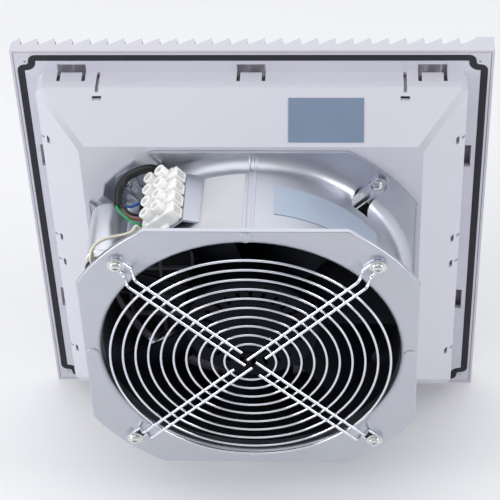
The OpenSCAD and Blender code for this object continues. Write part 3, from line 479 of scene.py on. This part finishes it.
def at_each(bm, places):
    """Puts a copy of a bmesh at each place."""
    mesh = as_mesh(bm)
    whole = bmesh.new()
    for number, place in enumerate(places, 1):
        whole.from_mesh(mesh)
        count = len(whole.verts)//number
        whole.verts.ensure_lookup_table()
        bmesh.ops.translate(whole, verts=whole.verts[-count:], vec=place)
    bpy.data.meshes.remove(mesh)
    return whole


def as_built(holder):
    """A bmesh of an object as its curve settings or its modifiers make it."""
    bpy.context.view_layer.update()
    mesh = bpy.data.meshes.new_from_object(holder.evaluated_get(bpy.context.evaluated_depsgraph_get()))
    bm = bmesh.new()
    bm.from_mesh(mesh)
    bpy.data.meshes.remove(mesh)
    return bm


print("a quarter turn in three steps:", [(round(x, 2), round(y, 2)) for x, y in arc((0, 0), 1, 0, 90, 3)])

# %% [markdown]
# ## Sizes taken from the model
# The pieces below are remodelled in the places where the model has them, so their sizes are those of the
# part's source, in millimetres, with depth measured from the panel face towards the viewer. Two things are
# the lesson's own and follow the real fan more closely: the wide turn from the round wall into the back
# plate, and how the guard's hairpins bend.

# %% Sizes
panel_half, corner_r, sheet_t = 112.5, 130, 1.2
fan_back, fan_front = 44, 124
wall_out = 102.2
modelled_turn, back_turn, front_turn = 5, 9, 2.4
arm_t = 1.5
screw_half = 84.4
screw_places = [(sx*screw_half, sy*screw_half) for sx in (-1, 1) for sy in (-1, 1)]
diagonals = [math.radians(45 + 90*k) for k in range(4)]

ring_wire, strut_wire = 1.8, 2.2
ring_first, ring_last, ring_count = 17.4, 94.3, 10
ring_radii = [ring_first + k*(ring_last - ring_first)/(ring_count - 1) for k in range(ring_count)]
guard_stand, weld_sink, foot_gap = 7.2, 0.4, 0.05
guard_plane = fan_front + guard_stand
leg_plane = guard_plane + (ring_wire + strut_wire)/2 - weld_sink
foot_plane = fan_front + strut_wire/2 + foot_gap
leg_half, long_leg, short_leg = 3.7, 1.5, 11.4
bend_in, bend_out, bend_r = 105.6, 109.2, 2.2
eye_dist = screw_half*math.sqrt(2)
print("guard rings:", len(ring_radii), "from", ring_radii[0], "to", round(ring_radii[-1], 1), "mm")

# %% [markdown]
# ## Finger guard
# A real guard is bent from bright wire: ten rings lie behind four hairpins, and every crossing is spot
# welded, which sinks the wires into each other and leaves a small bead. Rings are circles spun round the
# fan axis. A hairpin is one wire that runs out along a diagonal, steps down to the plate, turns round the
# screw and comes back, so it is swept along a rounded path, and the beads are small flattened balls.


# %% Wire helpers
def rounded_path(points, radius, steps=6):
    """The same path with each corner turned in a short arc-like bend."""
    path = [points[0]]
    for before, corner, after in zip(points, points[1:], points[2:]):
        start = corner + (before - corner).normalized()*radius
        end = corner + (after - corner).normalized()*radius
        for k in range(steps + 1):
            t = k/steps
            path.append(start*(1 - t)**2 + corner*2*t*(1 - t) + end*t**2)
    path.append(points[-1])
    return path


def wire_curve(name, diameter, roundness):
    """An empty curve that sweeps a round wire along its splines."""
    curve = bpy.data.curves.new(name, "CURVE")
    curve.dimensions = "3D"
    curve.bevel_depth, curve.bevel_resolution, curve.use_fill_caps = diameter/2*mm, roundness, True
    return curve


def wire_mesh(paths, diameter):
    """Sweeps a round wire along each path, through a curve that is turned into a mesh."""
    curve = wire_curve("wire", diameter, roundness=4)
    for path in paths:
        spline = curve.splines.new("POLY")
        spline.points.add(len(path) - 1)
        for point, place in zip(spline.points, path):
            point.co = (*place, 1)
    holder = bpy.data.objects.new("wire", curve)
    scene.collection.objects.link(holder)
    bm = as_built(holder)
    bpy.data.objects.remove(holder)
    bpy.data.curves.remove(curve)
    return bm


def wire_ring(radius, depth, diameter, steps=120, around=12):
    """A round wire bent to a ring about the fan axis."""
    bm = bmesh.new()
    bmesh.ops.create_circle(bm, segments=around, radius=diameter/2*mm)
    bmesh.ops.translate(bm, verts=bm.verts, vec=at(radius, 0, depth))
    bmesh.ops.spin(bm, geom=bm.verts[:] + bm.edges[:], cent=(0, 0, 0), axis=(0, 1, 0), angle=2*math.pi,
                   steps=steps, use_merge=True)
    outward(bm)
    return bm


def on_diagonal(angle, along, across, depth):
    """A place so far along a diagonal of the fan and so far beside it."""
    right = along*math.cos(angle) - across*math.sin(angle)
    up = along*math.sin(angle) + across*math.cos(angle)
    return at(right, up, depth)


print("an eye of the guard:", [round(c, 4) for c in on_diagonal(diagonals[0], eye_dist, 0, foot_plane)])


# %% Guard wires
def leg(angle, side, start):
    """One leg of a hairpin, from the middle of the fan to where it lies on the plate."""
    return [on_diagonal(angle, along, side*leg_half, depth) for along, depth in
            ((start, leg_plane), (bend_in, leg_plane), (bend_out, foot_plane))]


def hairpin(angle):
    """The path of one strut: out along a diagonal, round the screw and home."""
    half_turn = [math.pi/2 - math.pi*k/24 for k in range(25)]
    eye = [on_diagonal(angle, eye_dist + leg_half*math.cos(a), leg_half*math.sin(a), foot_plane)
           for a in half_turn]
    out = rounded_path(leg(angle, 1, long_leg) + [eye[0]], bend_r*mm)
    home = rounded_path([eye[-1]] + leg(angle, -1, short_leg)[::-1], bend_r*mm)
    return out + eye[1:-1] + home


def weld_bead(angle, radius, side):
    """A flattened ball where a leg of a hairpin crosses a ring."""
    bead_r, bead_plane, flattening = 1.25, guard_plane + 0.95, (1.05, 0.62, 1.05)
    along = math.sqrt(radius**2 - leg_half**2)
    bead = bmesh.new()
    bmesh.ops.create_icosphere(bead, subdivisions=2, radius=bead_r*mm)
    bmesh.ops.scale(bead, verts=bead.verts, vec=flattening)
    bmesh.ops.translate(bead, verts=bead.verts, vec=on_diagonal(angle, along, side*leg_half, bead_plane))
    return bead


rings = [wire_ring(radius, guard_plane, ring_wire) for radius in ring_radii]
beads = [weld_bead(angle, radius, side) for angle in diagonals for radius in ring_radii for side in (-1, 1)]
hairpins = wire_mesh([hairpin(angle) for angle in diagonals], strut_wire)
guard = finished("guard_wires", joined(rings + beads + [hairpins]), "guard_wire", "finger_guard", angle=60)
print("weld beads:", len(beads), "guard faces:", len(guard.data.polygons))

# %% [markdown]
# ## Cable and leads
# The sheathed cable comes through the wall of the fan, and its four wires fan out to the terminal strip.
# Two stiff leads run from the capacitor. Each is one smooth curve through the route points of the packed
# model, so it bends the way insulated wire does and has a round section.

# %% Cable and leads
cable = [(-20.7, 33.7, 54.3), (-28.6, 42.1, 54), (-42.6, 56.4, 52.5), (-55.3, 69.2, 51.4),
         (-61.7, 75.5, 51), (-65.2, 79, 51), (-65.2, 85, 51), (-62.5, 91, 50.4), (-60.6, 96.5, 50.3),
         (-64, 100.6, 50.4), (-69.8, 101.9, 51.5), (-76.4, 101.1, 54), (-81.9, 99.7, 57),
         (-85.4, 97.3, 61.5), (-87.2, 95.3, 67), (-87.4, 92.8, 72), (-87, 90.8, 76.5)]
blue = [(-86, 89.9, 76.1), (-81.2, 90.4, 76), (-78.9, 88.2, 74), (-76, 87, 71), (-73.3, 86, 67),
        (-70.2, 85.3, 63), (-67.7, 84.9, 58.9), (-62.3, 89.4, 58.7)]
black = [(-86, 91.8, 76.9), (-82.6, 91.7, 78.6), (-80.3, 90.1, 80.7), (-77.5, 88.9, 82), (-74.1, 88, 82),
         (-70.5, 86.7, 80), (-67.7, 84.9, 71.5), (-62.3, 89.4, 70.3)]
brown = [(-88, 89.9, 76.3), (-84.1, 89.5, 80.5), (-80.9, 89.1, 83), (-77.5, 89.3, 86), (-73.7, 88.4, 86.5),
         (-69.2, 87.2, 85), (-67.9, 85.1, 80.4), (-62.9, 88.9, 80.7)]
earth = [(-88, 91.8, 77.1), (-85.5, 91.5, 82.2), (-80.9, 89.8, 86), (-77.2, 89.5, 90), (-72.3, 88.8, 92),
         (-68.6, 86.6, 91.8), (-66.4, 86.1, 92.3), (-62.9, 88.9, 92.4)]
lead_front = [(-97.5, 68.5, 118.6), (-101.3, 77, 118), (-101.1, 87.6, 117.5), (-99.6, 91.3, 117),
              (-97.2, 92.5, 114), (-93.3, 92.9, 111), (-88.5, 92.2, 108), (-83.7, 91.8, 106),
              (-78.8, 91.6, 104), (-75.2, 91.5, 101), (-73.2, 93.3, 98.5), (-71.5, 89.5, 96.8),
              (-69, 86.2, 95.2), (-66.4, 86.1, 94.7), (-62.9, 88.9, 94.6)]
lead_behind = [(-93.1, 70.5, 118.6), (-98.8, 77.2, 117.4), (-100.6, 85.4, 115.4), (-99.7, 89.2, 114.8),
               (-97.3, 90.4, 111.8), (-93.4, 90.8, 108.8), (-88.6, 90.1, 105.8), (-83.8, 89.7, 103.8),
               (-78.9, 89.5, 101.8), (-75.3, 89.4, 98.8), (-73.5, 86.6, 95.5), (-71.5, 84.3, 91),
               (-69.5, 83.4, 86.5), (-66.9, 84.3, 84), (-62.9, 88.9, 83.1)]
cable_d, wire_d = 6, 2


def insulated(name, routes, diameter, slot, node):
    """Smooth curves through the route points, as one piece."""
    curve = wire_curve(name, diameter, roundness=5)
    curve.resolution_u = 8
    for route in routes:
        spline = curve.splines.new("BEZIER")
        spline.bezier_points.add(len(route) - 1)
        for point, place in zip(spline.bezier_points, route):
            point.co = at(*place)
            point.handle_left_type = point.handle_right_type = "AUTO"
    return dressed(name, curve, slot, node)


insulated("sheathed_cable", [cable], cable_d, "black_sheath", "motor_cable")
insulated("blue_wire", [blue], wire_d, "blue_insulation", "wire_blue")
insulated("black_wire", [black], wire_d, "black_insulation", "wire_black")
insulated("brown_wire", [brown], wire_d, "brown_insulation", "wire_brown")
insulated("earth_wire", [earth], wire_d, "green_insulation", "wire_earth")
leads = insulated("capacitor_wires", [lead_front, lead_behind], wire_d, "white_insulation", "capacitor_leads")
print("leads:", len(leads.data.splines), "points of the cable:", len(cable))

# %% [markdown]
# ## Soft mouldings
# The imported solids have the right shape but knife-sharp edges, and a real edge always catches a line of
# light. So a copy of the housing and one of the gasket are merged, their flat faces made whole, and the
# edges that show are bevelled by a real amount. The outer ridges of the housing are very soft, and the foam
# of the gasket is crowned.


# %% Measures of a corner or an edge
# Measures that differ by less than this, in millimetres, count as the same.
near = 0.05


def depth_of(vert):
    return -vert.co.y/mm


def from_axis(vert):
    return math.hypot(vert.co.x, vert.co.z)/mm


def from_middle(vert):
    return max(abs(vert.co.x), abs(vert.co.z))/mm


def longer(edge, length):
    return edge.calc_length() > length*mm


def crease(edge, angle):
    """Whether the surface turns outwards over the edge by more than the angle."""
    return edge.is_convex and edge.calc_face_angle(0) > math.radians(angle)


print("depths of the gasket:", {round(depth_of(v), 1) for v in nodes["gasket"].data.vertices})


# %% Soft housing and gasket
def merged(node):
    """A copy of a node's mesh whose triangles share their corners, with flat faces made whole again."""
    bm = bmesh.new()
    bm.from_mesh(nodes[node].data)
    bmesh.ops.remove_doubles(bm, verts=bm.verts, dist=2e-6)
    bmesh.ops.dissolve_degenerate(bm, edges=bm.edges, dist=2e-6)
    bmesh.ops.dissolve_limit(bm, angle_limit=math.radians(0.4), verts=bm.verts, edges=bm.edges)
    return bm


def rounded_edges(bm, width, chosen, segments=3):
    """Bevels the chosen edges and counts them."""
    edges = [e for e in bm.edges if e.is_manifold and chosen(e)]
    bmesh.ops.bevel(bm, geom=edges, offset=width*mm, offset_type="OFFSET", affect="EDGES", segments=segments,
                    profile=0.5, material=-1, clamp_overlap=True)
    return len(edges)


def soften(name, node, slot, width, chosen, segments=3):
    """Makes a piece from a copy of a node with its chosen edges rounded."""
    bm = merged(node)
    count = rounded_edges(bm, width, chosen, segments)
    piece = finished(name, bm, slot, node, angle=35, weighted=True)
    print(name, "edges:", count, "faces:", len(piece.data.polygons))


lattice_top, seat_r, wall_half = 17.2, 108, 143.9
foam_top = max(depth_of(v) for v in nodes["gasket"].data.vertices)


def outer_ridge(edge):
    """The long outer ridges of the funnel, not the lattice inside it."""
    outside = all(depth_of(v) > lattice_top and from_axis(v) > seat_r or from_middle(v) > wall_half
                  for v in edge.verts)
    return outside and crease(edge, 12) and longer(edge, 12)


def foam_edge(edge):
    """The edges between the top and the sides of the gasket."""
    return crease(edge, 60) and all(depth_of(v) > foam_top - near for v in edge.verts)


soften("soft_housing", "housing", "housing_plastic", 2.2, outer_ridge, segments=4)
soften("crowned_gasket", "gasket", "gasket_foam", 1.1, foam_edge)

# %% [markdown]
# ## Sheet metal
# The round wall of the real frame flares into the back plate on a wide arc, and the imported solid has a
# smaller one. Rolling the frame anew would mean cutting its openings and folding its tab again. So a copy
# of it is kept and its corners are moved: those on the turn slide outwards, each in its own direction from
# the fan's axis, until the turn is as wide as the real one. The same pass presses the plain strip that
# stands for the weld flat, because a better seam follows below, and closes the cut-outs for the carrier's
# arms by a few millimetres. A sheet's edge is only barely soft, so the bevels are narrow.

# %% Turn of the round wall
turn_from = fan_back + sheet_t
past_turn = 0.03
# The cut-outs: their two sides as seen along an arm, their ends, their floor and their depth.
cut_free_side, cut_arm_side, cut_near = -13.4, 6, 0.03
cut_inner, cut_outer, cut_floor, cut_depth = 95, 108.6, turn_from - 0.1, 15.1
cut_closed = math.radians(2.5)
# The plain strip in place of the weld: its sides, its height on the wall and on the plate, and its ends.
strip_left, strip_right, strip_rise, strip_on_plate, strip_ends = -0.4, 2, 1.05, 0.7, 3


def moved(vert, radius, depth):
    """Keeps a corner's direction from the fan axis and gives it a new radius and depth."""
    grow = radius/from_axis(vert)
    vert.co = Vector((vert.co.x*grow, -depth*mm, vert.co.z*grow))


def rise(inwards):
    """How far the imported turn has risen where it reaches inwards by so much."""
    return modelled_turn - math.sqrt(modelled_turn**2 - inwards**2) if inwards > 0 else 0


def beside_arm(vert):
    """How far beside the middle of the nearest arm a corner lies, or None away from the cut-outs."""
    for angle in diagonals:
        along = (vert.co.x*math.cos(angle) + vert.co.z*math.sin(angle))/mm
        side = (vert.co.z*math.cos(angle) - vert.co.x*math.sin(angle))/mm
        if cut_inner < along < cut_outer and cut_free_side - cut_near < side < cut_arm_side + cut_near:
            return side
    return None


def pressed_flat(vert, radius, depth):
    """The place of a corner of the weld's strip on the sheet below it. Other corners stay."""
    if not strip_left - near < vert.co.x/mm < strip_right + near or vert.co.z < 0:
        return radius, depth
    up, out = depth - turn_from, radius - wall_out
    if strip_ends < up and depth < fan_front - strip_ends and near < out < strip_rise + near:
        return wall_out + rise(modelled_turn - up), depth
    if near < up < strip_on_plate and out > modelled_turn - strip_rise - near:
        return radius, turn_from + rise(modelled_turn - out)
    return radius, depth


def widened(radius, depth):
    """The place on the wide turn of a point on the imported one. A point of the plate that the wide turn would
    pass goes just beyond it, and other points stay."""
    inwards, down = wall_out + modelled_turn - radius, turn_from + modelled_turn - depth
    reach = math.hypot(inwards, down)
    on_turn = modelled_turn - near < reach < modelled_turn + sheet_t + near
    if on_turn and inwards > -near and down > -near:
        wider = (reach + back_turn - modelled_turn)/reach
        return wall_out + back_turn - inwards*wider, turn_from + back_turn - down*wider
    if depth < turn_from + near and wall_out + modelled_turn < radius < wall_out + back_turn:
        return wall_out + back_turn + past_turn, depth
    return radius, depth


def flared(bm):
    """Widens the turn. The floors of the cut-outs stay as they are."""
    for vert in bm.verts:
        radius, depth, side = from_axis(vert), depth_of(vert), beside_arm(vert)
        if side is not None and side < cut_free_side + cut_near and depth < fan_back + cut_depth:
            vert.co = Matrix.Rotation(-cut_closed, 3, "Y") @ vert.co
        if side is None or depth >= cut_floor:
            moved(vert, *widened(*pressed_flat(vert, radius, depth)))


print("turn:", modelled_turn, "to", back_turn, "mm")


# %% Rolled frame and soft carrier
def plate_rim(edge):
    """The outer edges of the two square plates and of their lips."""
    rim = all(from_middle(v) > panel_half - near or from_axis(v) > corner_r - near for v in edge.verts)
    faces = all(min(abs(depth_of(v) - fan_front), abs(depth_of(v) - fan_back)) < near for v in edge.verts)
    return rim and faces and crease(edge, 40)


def carrier_edge(edge):
    return crease(edge, 60) and longer(edge, 3)


frame_mesh = merged("fan_frame")
flared(frame_mesh)
print("rim edges:", rounded_edges(frame_mesh, 0.9, plate_rim))
finished("rolled_frame", frame_mesh, "zinc_sheet", "fan_frame", angle=35, weighted=True)
soften("soft_carrier", "motor_carrier", "carrier_steel", 0.35, carrier_edge, segments=2)

# %% [markdown]
# ## Half-sheared discs
# In the middle of each side of the front plate a small disc is pushed half way through the sheet, as a stop
# for other mountings. It stands proud by three quarters of a millimetre, so its soft edge draws a thin
# circle. It is an outline spun round its own axis.

# %% Half-sheared discs
disc_from_axis, disc_r, disc_rise, disc_root = 107.3, 4.2, 0.75, -0.3
disc = turned([(0, disc_rise), (disc_r - 0.3, disc_rise), (disc_r - 0.1, disc_rise - 0.07), (disc_r, 0.5),
               (disc_r, disc_root), (0, disc_root)], steps=48)
sides = ((1, 0), (0, 1), (-1, 0), (0, -1))
discs = at_each(disc, [at(disc_from_axis*x, disc_from_axis*y, fan_front) for x, y in sides])
finished("half_sheared_discs", discs, "zinc_sheet", "fan_frame", angle=50, stands_for=False)
print("discs:", len(sides))

# %% [markdown]
# ## Lap seam of the round wall
# The round wall is a strip of sheet rolled to a ring. Its ends overlap by about 5 mm and are welded, which
# leaves a low band with two raised edges from plate to plate. The band is an outline of those two edges,
# carried along the wall's own profile, so that at the back it flares out over the turn as the sheet does.
# It is closed with quads, row by row, because a filled outline this thin would shade badly where it bends.

# %% Lap seam
seam_from, seam_sunk = -0.9, 0.15
seam_section = [(0, 0), (0.15, 0.4), (0.6, 0.6), (1.2, 0.35), (1.7, 0.2), (2.6, 0.2), (3.1, 0.45),
                (3.6, 0.45), (4.1, 0.2), (4.7, 0.35), (5.2, 0.45), (5.5, 0.25), (5.5, 0)]


def wall_line(lift):
    """The line of the wall's outside from the back plate to the front plate, lifted off the sheet."""
    back_centre = (wall_out + back_turn, fan_back + sheet_t + back_turn)
    front_centre = (wall_out + front_turn, fan_front - sheet_t - front_turn)
    return (arc(back_centre, back_turn - lift, 270, 180, steps=10)
            + arc(front_centre, front_turn - lift, 180, 90, steps=6))


band = bmesh.new()
rows = [[band.verts.new(at(seam_from + across, up, depth)) for up, depth in wall_line(lift - seam_sunk)]
        for across, lift in seam_section]
for row, beside in zip(rows, rows[1:] + rows[:1]):
    for k in range(len(row) - 1):
        band.faces.new((row[k], row[k + 1], beside[k + 1], beside[k]))
for end in (0, -1):
    band.faces.new([row[end] for row in rows])
outward(band)
finished("lap_seam", band, "zinc_sheet", "fan_frame", angle=50, stands_for=False)
print("seam width:", seam_section[-1][0], "mm")

# %% [markdown]
# ## Screws
# A pan head is a low dome with a rounded shoulder and a cross recess that tapers inwards. The dome is an
# outline spun round the screw's axis. The recess is a small tapered cross taken out with Boolean modifiers,
# whose result is read back as a mesh.


# %% Screw helpers
def tapered_bar(length, width, depth):
    """One bar of a cross recess, smaller at its bottom."""
    bar = bmesh.new()
    bmesh.ops.create_cube(bar, size=1)
    bmesh.ops.scale(bar, verts=bar.verts, vec=(length*mm, depth*mm, width*mm))
    bottom, taper = [v for v in bar.verts if v.co.y > 0], (0.55, 1, 0.5)
    bmesh.ops.scale(bar, verts=bottom, vec=taper)
    return bar


def carved(body, cutters):
    """Takes the cutters out of the body."""
    objects = []
    for bm in [body] + cutters:
        bmesh.ops.recalc_face_normals(bm, faces=bm.faces)
        objects.append(bpy.data.objects.new("blank", as_mesh(bm)))
        scene.collection.objects.link(objects[-1])
    for cutter in objects[1:]:
        cut = objects[0].modifiers.new("cut", "BOOLEAN")
        cut.operation, cut.solver, cut.object = "DIFFERENCE", "EXACT", cutter
    result = as_built(objects[0])
    for item in objects:
        bpy.data.objects.remove(item)
    return result


def pan_screw(shank, length, head, height):
    """A screw along Y with its head's underside at the origin and its head towards the viewer."""
    shoulder, under_edge, tip_chamfer = 0.42, 0.15, 0.6
    recess_len, recess_w, recess_depth = head*1.15, 0.95, height*1.1
    recess_middle = height*0.95
    dome = [(head*out, height*(shoulder + (1 - shoulder)*up)) for up, out in arc((0, 0), 1, 0, 90, steps=12)]
    below = [(head - under_edge, 0), (shank, 0), (shank, tip_chamfer - length),
             (shank - tip_chamfer, -length), (0, -length)]
    bars = [tapered_bar(recess_len, recess_w, recess_depth), tapered_bar(recess_w, recess_len, recess_depth)]
    for bar in bars:
        bmesh.ops.translate(bar, verts=bar.verts, vec=at(0, 0, recess_middle))
    return carved(turned(dome + below, steps=40), bars)


guard_screw = pan_screw(shank=2, length=9, head=4.1, height=2.8)
mount_screw = pan_screw(shank=2, length=10, head=3.9, height=2.6)
print("faces of a guard screw:", len(guard_screw.faces))

# %% Screws and washers
clear, head_gap = 0.05, 0.02
washer_r, washer_t, washer_hole = 5.6, 1, 2.25
hole_edge, rim_edge, rim_drop = 0.15, 0.25, 0.2
washer_back = foot_plane + strut_wire/2 + clear
arm_front = fan_back + sheet_t + arm_t
guard_heads = [at(x, y, washer_back + washer_t + clear) for x, y in screw_places]
mount_heads = [at(x, y, arm_front + head_gap) for x, y in screw_places]
finished("guard_screw_set", at_each(guard_screw, guard_heads), "screw_steel", "guard_screws", angle=40)
finished("mount_screw_set", at_each(mount_screw, mount_heads), "screw_steel", "fan_mount_screws", angle=40)
washer = turned([(washer_hole, hole_edge), (washer_hole + hole_edge, 0), (washer_r - rim_edge, 0),
                 (washer_r, rim_drop), (washer_r, washer_t - rim_drop), (washer_r - rim_edge, washer_t),
                 (washer_hole + hole_edge, washer_t), (washer_hole, washer_t - hole_edge),
                 (washer_hole, hole_edge)], steps=48)
washers = at_each(washer, [at(x, y, washer_back) for x, y in screw_places])
finished("washer_set", washers, "screw_steel", "guard_washers", angle=50)
print("screws and washers:", 3*len(screw_places))

# %% [markdown]
# ## Painted shaft end
# The rotor is painted after the shaft is pressed in, so the shaft's end is as black as the face around it.
# A thin disc of paint covers it.

# %% Painted shaft end
paint_top, paint_back, paint_r = 100.62, 100.15, 4.35
painted = turned([(0, paint_top), (paint_r - 0.15, paint_top), (paint_r, paint_top - 0.12),
                  (paint_r, paint_back), (0, paint_back)], steps=40)
finished("painted_end", painted, "rotor_paint", "rotor_bell", angle=50, stands_for=False)
print("shaft end at depth", paint_top)

# %% [markdown]
# ## Capacitor
# A motor capacitor is a deep-drawn aluminium can. Its bottom has a generous radius, a groove is rolled in
# near the mouth to grip the lid, and the rim is folded over it. All of that, with the threaded foot, is one
# outline spun round the can's axis.

# %% Capacitor
can_at, can_start, can_len, can_r = (-95.3, 69.5), 61.5, 53.4, 12.3
can_end = can_start + can_len
bottom_r, groove_depth, groove_w, groove_from_end = 3, 0.8, 2.4, 6.2
foot_start, foot_r, flange_start, flange_r = 50, 3.95, 58.22, 6
foot = [(0, foot_start), (3.4, foot_start), (foot_r, foot_start + 0.6), (foot_r, flange_start),
        (flange_r, flange_start), (flange_r, can_start)]
bottom_bend = arc((can_r - bottom_r, can_start + bottom_r), bottom_r, 270, 360, steps=6)
groove = [(can_r - groove_depth*math.sin(math.pi*k/8), can_end - groove_from_end + groove_w*k/8)
          for k in range(9)]
folded_rim = [(can_r, can_end - 0.8), (can_r - 0.25, can_end - 0.15), (can_r - 0.7, can_end),
              (can_r - 1, can_end - 0.3), (can_r - 1, can_end - 1), (0, can_end - 1)]
can = turned(foot + bottom_bend + groove + folded_rim, steps=72, axis_at=at(*can_at, 0))
finished("drawn_can", can, "can_aluminium", "capacitor_can", angle=40)
print("can:", can_len, "mm long,", 2*can_r, "mm across")

# %% [markdown]
# ## Terminal strip
# The strip is moulded in soft milky plastic, so nothing on it is sharp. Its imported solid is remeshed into
# fine even quads, which closes every join between the poles, and then smoothed, which rounds every edge by
# the same amount.

# %% Terminal strip
quad = 0.4
strip_mesh = as_mesh(merged("terminal_block"), "milky_strip")
strip = dressed("milky_strip", strip_mesh, "terminal_plastic", "terminal_block")
remesh = strip.modifiers.new("even_quads", "REMESH")
remesh.mode, remesh.voxel_size, remesh.use_smooth_shade = "VOXEL", quad*mm, True
softening = strip.modifiers.new("soft_edges", "SMOOTH")
softening.factor, softening.iterations = 0.5, 10
print("strip remeshed at", quad, "mm")

# %% [markdown]
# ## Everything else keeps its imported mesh
# The nodes whose solid already has the right shape only get their finish, from the slot that the record
# gives them.

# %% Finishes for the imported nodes
for row in frame["record"]["subparts"]:
    mesh = nodes[row["node"]].data
    if not mesh.materials:
        mesh.materials.append(None)
    for place in range(len(mesh.materials)):
        mesh.materials[place] = finishes[row["material_slot"]].material
